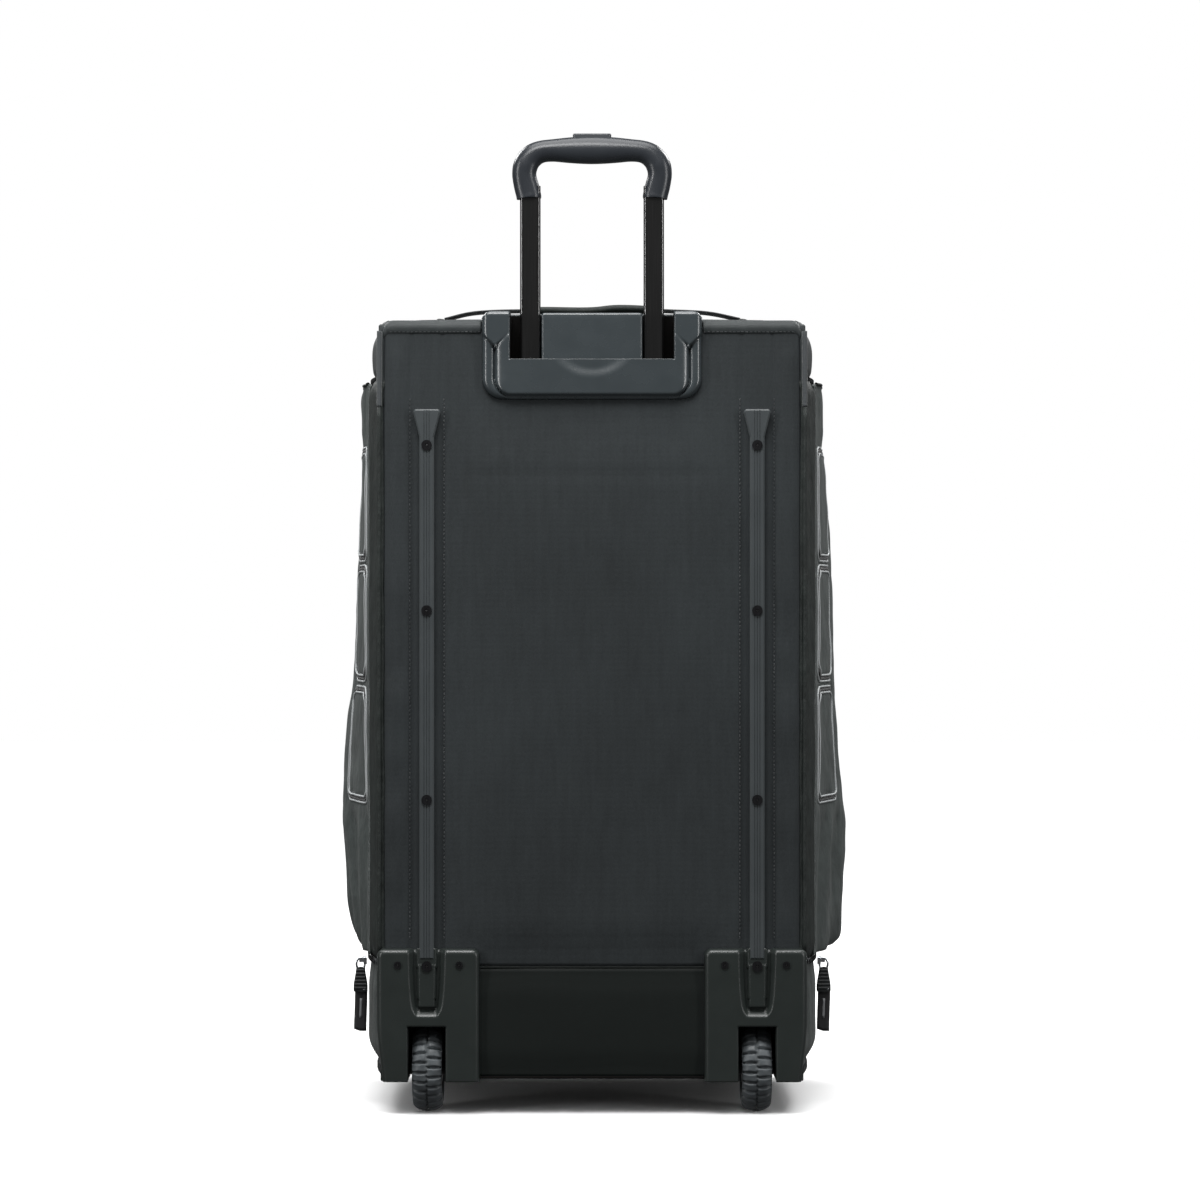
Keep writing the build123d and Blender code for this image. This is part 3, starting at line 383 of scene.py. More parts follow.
def thicken_evenly(obj, thickness):
    """Gives a sheet its thickness, half on each side."""
    solid = obj.modifiers.new("thickness", "SOLIDIFY")
    solid.thickness, solid.offset = thickness, 0.0
    return apply_modifiers(obj)


def smooth_more(obj):
    """One round of subdivision."""
    sub = obj.modifiers.new("smooth", "SUBSURF")
    sub.levels = sub.render_levels = 1
    return apply_modifiers(obj)


def spaced(a, b, count):
    return [a + (b - a) * i / (count - 1) for i in range(count)]


def through(points, x):
    """A smooth value at x, through given (x, value) points."""
    last = len(points) - 1
    if x <= points[0][0]:
        return points[0][1]
    if x >= points[last][0]:
        return points[last][1]
    i = next(k for k in range(last) if x <= points[k + 1][0])
    (x0, v0), (x1, v1) = points[i], points[i + 1]
    slopes = []
    for k in (i, i + 1):
        a, b = points[max(k - 1, 0)], points[min(k + 1, last)]
        slopes.append((b[1] - a[1]) / (b[0] - a[0]) * (x1 - x0))
    t = (x - x0) / (x1 - x0)
    return (v0 * (1 + 2 * t) * (1 - t) ** 2 + slopes[0] * t * (1 - t) ** 2
            + v1 * t * t * (3 - 2 * t) + slopes[1] * t * t * (t - 1))


def step(edge0, edge1, x):
    t = max(0.0, min(1.0, (x - edge0) / (edge1 - edge0)))
    return t * t * (3 - 2 * t)


def quarter_turns(count, first=1):
    """Angles in even steps, up to 90 degrees."""
    return [math.pi / 2 * k / count for k in range(first, count + 1)]


def squared_turn(t, exponent):
    """Cosine and sine, pushed out towards a square by an exponent below 1."""
    c, s = math.cos(t), math.sin(t)
    return math.copysign(abs(c) ** exponent, c), math.copysign(abs(s) ** exponent, s)


def mound(x, centre, reach):
    """1 at the centre, falling smoothly to 0 at the reach."""
    t = abs(x - centre) / reach
    return 0.0 if t >= 1 else 0.5 + 0.5 * math.cos(math.pi * t)


def ripple(x, y, z, seed=0.0):
    return noise.noise(Vector((x + seed * 7.31, y - seed * 3.17, z + seed)))


def catmull(points, per_span=8, closed=False):
    """A smooth line through the points."""
    pts = [Vector(p) for p in points]
    count = len(pts)
    spans = count if closed else count - 1
    out = []
    for i in range(spans):
        p1, p2 = pts[i], pts[(i + 1) % count]
        p0 = pts[i - 1] if closed or i > 0 else p1 + (p1 - p2)
        p3 = pts[(i + 2) % count] if closed or i + 2 < count else p2 + (p2 - p1)
        for k in range(per_span):
            t = k / per_span
            out.append(0.5 * (2 * p1 + (p2 - p0) * t + (2 * p0 - 5 * p1 + 4 * p2 - p3) * t * t
                              + (3 * p1 - p0 - 3 * p2 + p3) * t ** 3))
    if not closed:
        out.append(pts[-1])
    return out


def sweep(name, path, radii, sides=12, closed=False, up=AWAY, power=2.0):
    """A tube along a path. radii is one number, or (across, along up) pairs, one for each point."""
    count = len(path)
    if isinstance(radii, (int, float)):
        radii = [(radii, radii)] * count
    rows = []
    for i, p in enumerate(path):
        a = path[i - 1] if i > 0 or closed else path[i]
        b = path[(i + 1) % count] if i < count - 1 or closed else path[i]
        along = (b - a).normalized()
        across = along.cross(up).normalized()
        over = across.cross(along).normalized()
        row = []
        for k in range(sides):
            c, s = squared_turn(2 * math.pi * k / sides, 2 / power)
            row.append(p + across * c * radii[i][0] + over * s * radii[i][1])
        rows.append(row)
    if closed:
        rows.append(rows[0])
    obj = grid(name, rows, closed=True)
    if closed:
        merge_close(obj)
    else:
        join(obj, end_caps(name, rows))
        merge_close(obj)
    obj.data.polygons.foreach_set("use_smooth", [len(p.vertices) <= 4 for p in obj.data.polygons])
    return face_out(obj)


def end_caps(name, rows):
    """Flat faces on the first and the last ring of a tube."""
    count = len(rows[0])
    return build(name + "_caps", rows[0] + rows[-1],
                 [tuple(range(count)), tuple(range(2 * count - 1, count - 1, -1))])


def merge_close(obj, distance=1e-6):
    weld = obj.modifiers.new("weld", "WELD")
    weld.merge_threshold = distance
    return apply_modifiers(obj)


def join(obj, *others):
    """Puts other pieces into this one."""
    with bpy.context.temp_override(active_object=obj, selected_editable_objects=[obj, *others]):
        bpy.ops.object.join()
    return obj


BOX_FACES = ((0, 1, 3, 2), (4, 6, 7, 5), (0, 4, 5, 1), (2, 3, 7, 6), (0, 2, 6, 4), (1, 5, 7, 3))


def bevelled_box(name, lo, hi, bevel=0.001, segments=3):
    """A box with rounded edges."""
    x0, y0, z0 = lo
    x1, y1, z1 = hi
    verts = [(x, y, z) for x in (x0, x1) for y in (y0, y1) for z in (z0, z1)]
    obj = build(name, verts, BOX_FACES)
    mod = obj.modifiers.new("edges", "BEVEL")
    mod.width, mod.segments = bevel, segments
    return apply_modifiers(obj)


def prism(name, outline, z0, z1, bevel):
    """An upright block with the given outline and rounded edges."""
    count = len(outline)
    verts = [(x, y, z) for z in (z0, z1) for x, y in outline]
    faces = [tuple(range(count)), tuple(range(count, 2 * count))]
    faces += [(i, (i + 1) % count, count + (i + 1) % count, count + i) for i in range(count)]
    obj = face_out(build(name, verts, faces))
    mod = obj.modifiers.new("edges", "BEVEL")
    mod.width, mod.segments = bevel, 3
    mod.angle_limit = math.radians(40)
    return apply_modifiers(obj)


def stitches(name, line, normal, pitch=0.0042, length=0.0027, radius=0.00032):
    """A row of thread stitches along a line. normal is a vector, or a function of the place."""
    verts, faces = [], []
    travelled, want = 0.0, pitch / 2
    for a, b in zip(line, line[1:]):
        run = (b - a).length
        while run > 0 and travelled + run >= want:
            p = a.lerp(b, (want - travelled) / run)
            along = (b - a).normalized()
            out = normal(p) if callable(normal) else normal
            side = along.cross(out).normalized()
            first = len(verts)
            for t, r in ((-0.5, 0.35), (-0.3, 1.0), (0.3, 1.0), (0.5, 0.35)):
                centre = p + along * length * t + out * radius * 0.3
                verts += [centre + side * radius * r, centre + out * radius * r,
                          centre - side * radius * r, centre - out * radius * r]
            for ring in range(3):
                for k in range(4):
                    i, j = first + ring * 4 + k, first + ring * 4 + (k + 1) % 4
                    faces.append((i, j, j + 4, i + 4))
            faces.append(tuple(first + k for k in (3, 2, 1, 0)))
            faces.append(tuple(first + 12 + k for k in range(4)))
            want += pitch
        travelled += run
    return build(name, verts, faces)


# ---------------------------------------------------------------- the bag's plan
def side_x(half, y):
    """Half width of the bag at depth y, behind the front corners."""
    if y >= FLARE_Y:
        return half
    run = FLARE_Y - BACK_Y
    radius = (BACK_DROP ** 2 + run ** 2) / (2 * BACK_DROP)
    return half - radius + math.sqrt(radius ** 2 - (y - FLARE_Y) ** 2)


def plan(half, front, start_y, end_x=0.0, gap=0.006):
    """Points and outward normals, from the back edge round the right front corner to end_x."""
    places = [Vector((side_x(half, y), y, 0))
              for y in spaced(start_y, front - CORNER_R, int((front - CORNER_R - start_y) / gap))]
    centre = Vector((half - CORNER_R, front - CORNER_R, 0))
    for t in quarter_turns(14):
        places.append(centre + CORNER_R * Vector((math.cos(t), math.sin(t), 0)))
    along = int((half - CORNER_R - end_x) / gap)
    places += [Vector((x, front, 0)) for x in spaced(half - CORNER_R, end_x, along + 2)[1:]]
    out = []
    for i, p in enumerate(places):
        a, b = places[max(i - 1, 0)], places[min(i + 1, len(places) - 1)]
        along = (b - a).normalized()
        out.append((p, Vector((along.y, -along.x, 0))))
    return out


def wall(name, line, levels, push, sign=1):
    """A standing wall along a plan line. push(p, z, s) moves it outward."""
    rows = []
    for z in levels:
        row = []
        s = 0.0
        for i, (p, n) in enumerate(line):
            s += (p - line[i - 1][0]).length if i else 0.0
            q = p + n * push(p, z, s)
            row.append(Vector((sign * q.x, q.y, z)))
        rows.append(row if sign > 0 else row[::-1])
    return grid(name, rows)


def line_on_wall(line, z, push, sign=1):
    """The points of a level line on a wall."""
    out, s = [], 0.0
    for i, (p, n) in enumerate(line):
        s += (p - line[i - 1][0]).length if i else 0.0
        q = p + n * push(p, z, s)
        out.append(Vector((sign * q.x, q.y, z)))
    return out


# ---------------------------------------------------------------- back panel
CHANNEL_HALF = 0.0155                      # the rails lie in sewn channels this wide each side


def back_out(x, z):
    """How far the back panel stands out from its board."""
    ax = abs(x)
    middle = RAIL_X - CHANNEL_HALF
    centre = step(0, 0.060, middle - ax) if ax < middle else 0.0
    past_rail = (ax - RAIL_X - CHANNEL_HALF) / (BACK_HALF - RAIL_X - CHANNEL_HALF)
    strip = math.sin(math.pi * min(1.0, max(0.0, past_rail)))
    ends = step(SEAM_Z, SEAM_Z + 0.05, z) * step(0, 0.03, BACK_TOP - 0.012 - z)
    under_bezel = step(-0.004, 0.075, math.hypot(max(0.0, ax - BEZEL_HALF), max(0.0, BEZEL_BOTTOM - z)))
    out = 0.0042 * centre * ends * under_bezel + 0.0020 * strip * ends
    out += 0.0009 * centre * ripple(x * 9, 0, z * 5, 1) + 0.0004 * centre * ripple(x * 24, 0, z * 15, 2)
    crease = mound(z, 0.640, 0.012) * step(0, 0.05, middle - ax)
    out -= 0.0005 * crease
    if ax > RAIL_X + CHANNEL_HALF:
        out += 0.0026 * strip * ripple(x * 16 + z * 9, 1, z * 22, 3) * step(0.0, 0.25, 0.66 - z)
    return out


def back_panel():
    """Padded back with the rails' channels, a seam edge and a notch for the handle's mouth."""
    edge = [0.0, 0.0012, 0.003, 0.006]
    middle = spaced(0.0, BACK_HALF - 0.012, 66)
    xs = sorted(middle + [BACK_HALF - e for e in edge])
    xs = [-x for x in xs[::-1]] + xs[1:]
    top = BACK_TOP - 0.008
    zs = spaced(SEAM_Z + 0.0008, top, 150)
    rows = []
    for z in zs:
        row = []
        for x in xs:
            inset = BACK_HALF - abs(x)
            drop = 0.0035 * (1 - step(0, 0.006, inset)) + 0.0005 * (1 - step(0, 0.004, z - SEAM_Z))
            seam = 0.0010 * (mound(abs(x), RAIL_X - CHANNEL_HALF, 0.0022)
                             + mound(abs(x), RAIL_X + CHANNEL_HALF, 0.0022))
            row.append(Vector((x, BACK_Y + drop + seam - back_out(x, z), z)))
        rows.append(row)
    mouth, mouth_z = 0.0985, 0.724        # half width and foot of the notch

    def notch(i, j):
        return abs((xs[j] + xs[j + 1]) / 2) < mouth and zs[i] > mouth_z

    panel = thicken(grid("back_panel_cloth", rows, skip=notch), 0.004)
    dress(panel, "back", "bag")
    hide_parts("back_panel")
    for side, sign in RIGHT_LEFT:
        for k, offset in enumerate((-CHANNEL_HALF - 0.0016, CHANNEL_HALF + 0.0016)):
            x = sign * (RAIL_X + offset)
            line = [Vector((x, BACK_Y - back_out(x, z) - 0.0001, z))
                    for z in spaced(0.175, RAIL_TOP + 0.012, 60)]
            seam = stitches(f"rail_seam_{side}_{k}", line, -AWAY)
            dress(seam, "thread", "bag")


def lower_back():
    """Smooth coated panel between the wheel housings."""
    half = low("wheel_housing_right").x + 0.012
    bottom = low("lower_back_panel").z
    rows = []
    for z in spaced(bottom, SEAM_Z + 0.0002, 24):
        swell = 0.0018 * step(0, 0.03, z - bottom) * step(0, 0.03, SEAM_Z - z)
        rows.append([Vector((x, BACK_Y + 0.0003 - swell - 0.0006 * ripple(x * 12, 4, z * 16), z))
                     for x in spaced(-half, half, 50)])
    panel = thicken(grid("lower_back_cloth", rows), 0.004)
    dress(panel, "lower", "bag")
    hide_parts("lower_back_panel")
    line = [Vector((x, BACK_Y + 0.0003, SEAM_Z + 0.0002)) for x in spaced(-half, half, 30)]
    welt = sweep("lower_seam_welt", line, 0.0008, sides=8, up=AWAY)
    dress(welt, "lower", "bag")
    # a near-black cord along the panel's bottom edge: painted shade where the bag's underside is in shadow
    line = [Vector((x, BACK_Y - 0.0008, bottom + 0.0006)) for x in spaced(-half, half, 30)]
    hem = sweep("lower_hem_painted_shade", line, 0.0013, sides=10, up=AWAY)
    dress(hem, "shadow", "bag")


def edge_piping():
    """Round cords down both edges of the back, and a bound stretch beside the lid."""
    split = high("skid_rail_right").z + 0.003
    x = BACK_HALF + 0.0022
    for side, sign in RIGHT_LEFT:
        for part, z0, z1, radius, material in (("low", 0.160, split, 0.0021, "body"),
                                               ("high", split, BACK_TOP - 0.0125, 0.0025, "binding")):
            path = [(sign * (x + 0.0004 * ripple(0, 2, z * 9)), BACK_Y - 0.0002, z)
                    for z in spaced(z0, z1, 16)]
            cord = sweep(f"edge_piping_{part}_{side}", catmull(path, 3), radius, sides=10,
                         up=Vector((0, 1, 0.01)).normalized())
            dress(cord, material, "bag")
        fold = [Vector((sign * (x - 0.0012), BACK_Y + 0.0040, z))
                for z in spaced(split, BACK_TOP - 0.0130, 8)]
        dress(sweep(f"edge_fold_{side}", fold, 0.0037, sides=12, up=AWAY), "lid", "bag")


def top_roll():
    """Padded strip along the top of the back, beside the handle's mouth, rolled over the edge."""
    radius, inner = 0.0085, BEZEL_HALF + 0.0006
    outer = BACK_HALF + 0.0005
    top_z = BACK_TOP - 0.0015
    profile = [(BACK_Y + 0.0016, top_z - 0.0145), (BACK_Y - 0.0012, top_z - 0.0135),
               (BACK_Y - 0.0022, top_z - radius)]
    for t in quarter_turns(8):
        profile.append((BACK_Y - 0.0022 + radius * (1 - math.cos(t)),
                        top_z - radius + radius * math.sin(t)))
    profile += [(BACK_Y + 0.018, top_z + 0.0012), (BACK_Y + 0.030, top_z + 0.0012),
                (HINGE_Y - 0.0015, top_z - 0.0005), (HINGE_Y - 0.0008, top_z - 0.006)]
    for side, sign in RIGHT_LEFT:
        rows = []
        for x in spaced(inner, outer, 26):
            shrink = 1 - math.sqrt(max(0.0, 1 - max(0.0, (x - outer + 0.010) / 0.010) ** 2))
            tuck = 0.0010 * mound(x, 0.152, 0.003)
            row = []
            for y, z in profile:
                lump = 0.0005 * ripple(x * 40, y * 30, z * 20, 5)
                row.append(Vector((sign * x, y + tuck * 0.5 + lump + shrink * 0.004,
                                   z - tuck - shrink * 0.010)))
            rows.append(row if sign > 0 else row[::-1])
        roll = thicken(grid(f"top_roll_{side}", rows), 0.0025)
        smooth_more(roll)
        dress(roll, "lid", "bag")
        line = [Vector((sign * x, BACK_Y - 0.0020, top_z - 0.0120))
                for x in spaced(inner, outer - 0.006, 20)]
        dress(stitches(f"top_roll_seam_{side}", line, -AWAY), "thread", "bag")
    blocks = []
    y0, y1 = low("top_rear_corners").y, high("top_rear_corners").y
    for side, sign in RIGHT_LEFT:
        outline = [(inner + 0.001, y1), (inner + 0.001, y0)]
        outline += [(max(side_x(LID_HALF, y) + 0.0002, BACK_HALF + 0.0036 - 0.05 * (y - y0)), y)
                    for y in spaced(y0, y1, 6)]
        corner = prism(f"rear_corner_{side}", [(sign * x, y) for x, y in outline],
                       low("top_rear_corners").z, top_z - 0.0035, 0.0025)
        blocks.append(corner)
    core = join(*blocks)
    core.name = "rear_corner_cloth"
    dress(core, "lid", "bag")
    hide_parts("top_rear_corners")


# ---------------------------------------------------------------- sides
def side_push(p, z, s):
    """Creases and slack of the padded side panels."""
    top_bottom = step(0, 0.02, z - BODY_BOTTOM) * step(0, 0.015, BODY_TOP - z)
    out = 0.0022 * top_bottom
    out += (0.0022 * top_bottom * ripple(p.y * 26, 3, z * 5.0, 6)
            + 0.0010 * top_bottom * ripple(p.y * 60, 8, z * 16, 7))
    covered = (step(POCKET_Y[0], POCKET_Y[0] + 0.006, p.y)
               * (1 - step(POCKET_Y[1] - 0.006, POCKET_Y[1], p.y)))
    out -= 0.0062 * covered
    return out - 0.003 * (1 - step(0, 0.008, z - BODY_BOTTOM)) - 0.003 * (1 - step(0, 0.008, BODY_TOP - z))


def side_panels():
    line = plan(BODY_HALF - 0.0025, BODY_FRONT - 0.0012, BACK_Y + 0.0005, POST_X + 0.0005)
    for side, sign in RIGHT_LEFT:
        panel = wall(f"side_cloth_{side}", line, spaced(BODY_BOTTOM, BODY_TOP, 120), side_push, sign)
        thicken(panel, 0.0045)
        dress(panel, "body", "bag")
        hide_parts(f"side_panel_{side}")


# side pocket: how far its fullest line stands out from the side wall, up its height
POCKET_BULGE = {
    "left": ((0.1545, 0.0040), (0.161, 0.0112), (0.175, 0.0165), (0.202, 0.0208), (0.257, 0.0255),
             (0.300, 0.0292), (0.350, 0.0272), (0.394, 0.0240), (0.430, 0.0180), (0.480, 0.0152),
             (0.540, 0.0128), (0.590, 0.0088), (0.650, 0.0058), (0.712, 0.0062), (0.726, 0.0042),
             (0.734, -0.0004)),
    "right": ((0.1545, 0.0180), (0.161, 0.0255), (0.175, 0.0282), (0.230, 0.0292), (0.284, 0.0308),
              (0.339, 0.0272), (0.394, 0.0232), (0.477, 0.0198), (0.559, 0.0172), (0.614, 0.0132),
              (0.641, 0.0106), (0.675, 0.0056), (0.712, 0.0042), (0.726, 0.0030), (0.734, -0.0004)),
}
POCKET_Y = (-0.104, 0.092)
POCKET_FULL_Y = 0.045                     # where the pocket stands out most
# the three outlined rectangles: low z, high z, radius of the lower and of the upper corners
PANELS = ((0.5545, 0.6705, 0.014, 0.010), (0.4310, 0.5500, 0.019, 0.013), (0.3070, 0.4255, 0.011, 0.017))
PANEL_Y = (-0.091, -0.010)


def in_panel(y, z):
    """How far inside the nearest outlined rectangle a place is, negative outside."""
    return max(min(y - PANEL_Y[0], PANEL_Y[1] - y, z - z0, z1 - z) for z0, z1, *_ in PANELS)


def pocket_x(side, y, z):
    """The pocket's outer face."""
    if y < POCKET_FULL_Y:
        bow = math.sin(math.pi / 2 * max(0.0, (y - POCKET_Y[0]) / (POCKET_FULL_Y - POCKET_Y[0]))) ** 2
    else:
        bow = math.cos(math.pi / 2 * min(1.0, (y - POCKET_FULL_Y) / (POCKET_Y[1] - POCKET_FULL_Y))) ** 0.7
    inside = in_panel(y, z)
    out = through(POCKET_BULGE[side], z) * bow + 0.0012
    out -= 0.0009 * (1 - step(0.002, 0.012, inside)) + 0.0014 * mound(inside, 0.003, 0.007)
    soft = step(0, 0.02, y - POCKET_Y[0]) * step(0, 0.02, POCKET_Y[1] - y)
    slack = step(0, 0.03, PANELS[2][0] - z) + step(0, 0.02, z - PANELS[0][1]) * 0.7
    seed = 9 if side == "left" else 23
    folds = math.sin(y * 105 + 8 * ripple(y * 6, 0, z * 4, seed)) * 0.0026
    out += soft * (0.16 + slack) * folds
    out += soft * 0.0024 * ripple(y * 24, 0, z * 10, seed + 1) * (0.40 + slack)
    out += soft * 0.0010 * ripple(y * 60, 0, z * 38, seed + 2)
    return side_x(BODY_HALF, y) + out


def side_pockets():
    """Bulging pockets, tucked into the side panel all round, with three outlined rectangles each."""
    ys = spaced(POCKET_Y[0], POCKET_Y[1], 84)
    zs = spaced(0.1545, 0.7335, 210)
    for side, sign in RIGHT_LEFT:
        rows = []
        for i, z in enumerate([zs[0]] + zs + [zs[-1]]):
            row = []
            for j, y in enumerate([ys[0]] + ys + [ys[-1]]):
                border = i in (0, len(zs) + 1) or j in (0, len(ys) + 1)
                x = side_x(BODY_HALF, y) - 0.0035 if border else pocket_x(side, y, z)
                row.append(Vector((sign * x, y, z)))
            rows.append(row if sign > 0 else row[::-1])
        pocket = thicken(grid(f"side_pocket_cloth_{side}", rows), 0.0010)
        dress(pocket, "pocket", "bag")
        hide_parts(f"side_pocket_{side}")
        rim = [Vector((sign * (pocket_x(side, y, zs[-1]) - 0.0002), y, zs[-1] + 0.0006)) for y in ys[1:-1]]
        dress(sweep(f"side_pocket_rim_{side}", rim, 0.0017, sides=10, up=UP), "lower", "bag")
        y = ys[-1] + 0.0008
        seam = [Vector((sign * (side_x(BODY_HALF, y) + 0.0008), y, z)) for z in spaced(zs[0], zs[-1], 40)]
        dress(sweep(f"side_pocket_seam_{side}", seam, 0.0014, sides=10), "body", "bag")
        for k in range(len(PANELS)):
            for which, inset in (("outer", 0.0), ("inner", 0.0062)):
                cord = panel_cord(f"pocket_piping_{side}_{k}_{which}", PANELS[k], inset, side, sign)
                dress(cord, "piping", "bag")
            band = panel_cord(f"pocket_band_{side}_{k}", PANELS[k], 0.0031, side, sign, 0.0018, 0.0004)
            dress(band, "ribbon", "bag")


def panel_cord(name, panel, inset, side, sign, radius=0.00105, out=0.0007):
    """A cord round one outlined rectangle, on the pocket's face."""
    z0, z1, low_r, high_r = panel
    y0, y1, z0, z1 = PANEL_Y[0] + inset, PANEL_Y[1] - inset, z0 + inset, z1 - inset
    flat = []
    for y, z, r, start in ((y1, z1, high_r, 0), (y0, z1, high_r, 90), (y0, z0, low_r, 180),
                           (y1, z0, low_r, 270)):
        r = max(0.0012, r - inset * 0.6)
        cy, cz = y + r * (1 if y == y0 else -1), z + r * (1 if z == z0 else -1)
        for k in range(6):
            t = math.radians(start + 90 * k / 5)
            flat.append((cy + r * math.cos(t), cz + r * math.sin(t)))
    dense = []
    for (ya, za), (yb, zb) in zip(flat, flat[1:] + flat[:1]):
        steps = max(1, int(math.hypot(yb - ya, zb - za) / 0.004))
        dense += [(ya + (yb - ya) * k / steps, za + (zb - za) * k / steps) for k in range(steps)]
    path = [Vector((sign * (pocket_x(side, y, z) + out), y, z)) for y, z in dense]
    return sweep(name, path, radius, sides=8, closed=True, up=ACROSS)


# ---------------------------------------------------------------- base
def base_push(p, z, s):
    body = step(0, 0.03, z - BASE_BOTTOM) * step(0, 0.03, BASE_TOP - z)
    tuck = 0.010 * (1 - step(-0.002, 0.034, z - BASE_BOTTOM)) ** 2
    return 0.0025 * body - tuck + 0.0012 * body * ripple(p.y * 14 + p.x * 9, 5, z * 14, 12)


def base():
    """Sides of the shoe compartment, with a bound lower edge from behind the housings on."""
    start_y, hem_start_y = -0.1497, -0.130
    line = plan(BASE_HALF - 0.0015, BASE_FRONT - 0.001, start_y, POST_X + 0.0005)
    hem = [(p, n) for p, n in line if p.y > hem_start_y]
    for side, sign in RIGHT_LEFT:
        panel = wall(f"base_cloth_{side}", line, spaced(BASE_BOTTOM, BASE_TOP, 36), base_push, sign)
        thicken(panel, 0.004)
        dress(panel, "pocket", "bag")
        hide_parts(f"base_wall_{side}")
        edge = line_on_wall(hem, BASE_BOTTOM - 0.001, base_push, sign)
        cord = sweep(f"base_piping_{side}", edge, 0.0020, sides=8, up=UP)
        dress(cord, "binding", "bag")


# ---------------------------------------------------------------- lid
def lid_push(p, z, s):
    height = LID_TOP - LID_BOTTOM
    t = (z - LID_BOTTOM) / height
    shoulder = 0.016 * max(0.0, (t - 0.45) / 0.55) ** 2.8
    swell = 0.0022 * math.sin(math.pi * min(1.0, t * 1.25))
    puckers = 0.0016 * ripple(s * 34, 2, z * 18, 14) * step(0, 0.3, t)
    return swell - shoulder - 0.0022 * (1 - step(0, 0.16, t)) + puckers


def lid():
    """Skirt with a rounded shoulder, crowned top, and piping between them."""
    line = plan(LID_HALF - 0.001, BODY_FRONT - 0.001, HINGE_Y + 0.0005, 0.0, gap=0.007)
    levels = spaced(LID_BOTTOM, LID_TOP - 0.006, 26)
    skirt = join(*[wall(f"lid_skirt_{side}", line, levels, lid_push, sign) for side, sign in RIGHT_LEFT])
    skirt.name = "lid_skirt_cloth"
    merge_close(skirt, 0.0002)
    right = line_on_wall(line, levels[-1], lid_push, 1)
    left = line_on_wall(line, levels[-1], lid_push, -1)
    turned = next(i for i, (p, _) in enumerate(line) if p.x < LID_HALF - CORNER_R - 0.0005)
    rows = []
    for a, b in list(zip(left, right))[:turned + 1]:
        row = []
        for t in spaced(0, 1, 56):
            q = a.lerp(b, t)
            rim = min(LID_HALF - 0.018 - abs(q.x), BODY_FRONT - 0.018 - q.y, q.y - HINGE_Y + 0.004)
            q.z += 0.0072 * math.sin(math.pi / 2 * max(0.0, min(1.0, rim / 0.055)))
            q.z += 0.0014 * ripple(q.x * 13, q.y * 13, 3, 15) * step(0.0, 0.05, rim)
            row.append(q)
        rows.append(row)
    top = grid("lid_top_cloth", rows)
    for piece, node in ((skirt, "lid_skirt"), (top, "lid_top")):
        thicken(piece, 0.0035)
        dress(piece, "lid", "top_lid")
        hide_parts(node)
    edge = [p + Vector((0, 0, 0.0012)) for p in right + left[-2::-1]]
    cord = sweep("lid_piping", edge, 0.0023, sides=8, up=UP)
    dress(cord, "binding", "top_lid")


def carry_handle():
    """Webbing strap with a padded wrap, arched over the lid between two stitched loops."""
    crest = high("top_handle").z
    foot = LID_TOP + 0.0012
    pts = [(-0.154, foot + 0.0062), (-0.122, foot + 0.0132), (-0.072, crest - 0.0036),
           (-0.006, crest - 0.0044),
           (0.028, crest - 0.0018), (0.078, crest - 0.0036), (0.120, foot + 0.0130), (0.154, foot + 0.0062)]
    path = catmull([(x, 0, z) for x, z in pts], 8)
    strap = sweep("handle_strap", path, [(0.0155, 0.0013)] * len(path), sides=16, up=UP, power=5)
    dress(strap, "webbing", "top_lid")
    middle = [p for p in path if abs(p.x) < 0.072]
    radii = []
    for p in middle:
        t = 1 - (abs(p.x) / 0.0725) ** 8
        radii.append((0.0160 + 0.0022 * t, 0.0024 + 0.0022 * t))
    wrap = sweep("handle_wrap", middle, radii, sides=24, up=UP, power=2.6)
    dress(wrap, "body", "top_lid")
    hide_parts("top_handle")
    for side, sign in RIGHT_LEFT:
        x = sign * 0.157
        loop = catmull([(x - 0.0035, -0.0175, foot + 0.0044), (x + 0.0035, -0.0175, foot + 0.0036),
                        (x + 0.0035, 0.0175, foot + 0.0036), (x - 0.0035, 0.0175, foot + 0.0044)], 6,
                       closed=True)
        ring = sweep(f"handle_loop_{side}", loop, 0.0016, sides=8, closed=True, up=UP)
        dress(ring, "nylon", "top_lid")
        x0, x1 = sorted((sign * 0.158, sign * 0.186))
        tab = bevelled_box(f"handle_tab_{side}", (x0, -0.0165, LID_TOP - 0.0022),
                           (x1, 0.0165, foot + 0.0036), 0.0011)
        dress(tab, "webbing", "top_lid")


# ---------------------------------------------------------------- moulded corner: housings and wheels
def quarter(distance, radius):
    """Height of a rounded edge, 0 at the edge and 1 from the radius on."""
    t = max(0.0, min(1.0, distance / radius))
    return math.sqrt(1 - (1 - t) ** 2)


def lines_between(*stops):
    """Grid lines that fall exactly on each stop: stop, spacing, stop, spacing, stop..."""
    out = [stops[0]]
    for a, spacing, b in zip(stops[::2], stops[1::2], stops[2::2]):
        out += spaced(a, b, max(2, round((b - a) / spacing) + 1))[1:]
    return out


WELL_HALF, WELL_TOP = 0.0187, 0.0882
PLATE_Y = BACK_Y - 0.0002
HOUSING_CORNER_R = 0.008
# half width of the rail's recess, up its height
RECESS = ((0.098, 0.0105), (0.104, 0.0148), (0.114, 0.0172), (0.136, 0.0190), (0.167, 0.0198))


def corner_depth(side, up, radius):
    """Distance inside an outline with a rounded corner, from the distances to its two edges."""
    if side < radius and up < radius:
        return radius - math.hypot(radius - side, radius - up)
    return min(side, up)


def into_corner(side, up, radius):
    """Pulls a place that lies outside a rounded corner onto its arc."""
    if side >= radius or up >= radius:
        return side, up
    a, b = radius - side, radius - up
    square = max(a, b)
    length = math.hypot(a, b)
    return (radius - a / length * square, radius - b / length * square) if length else (side, up)


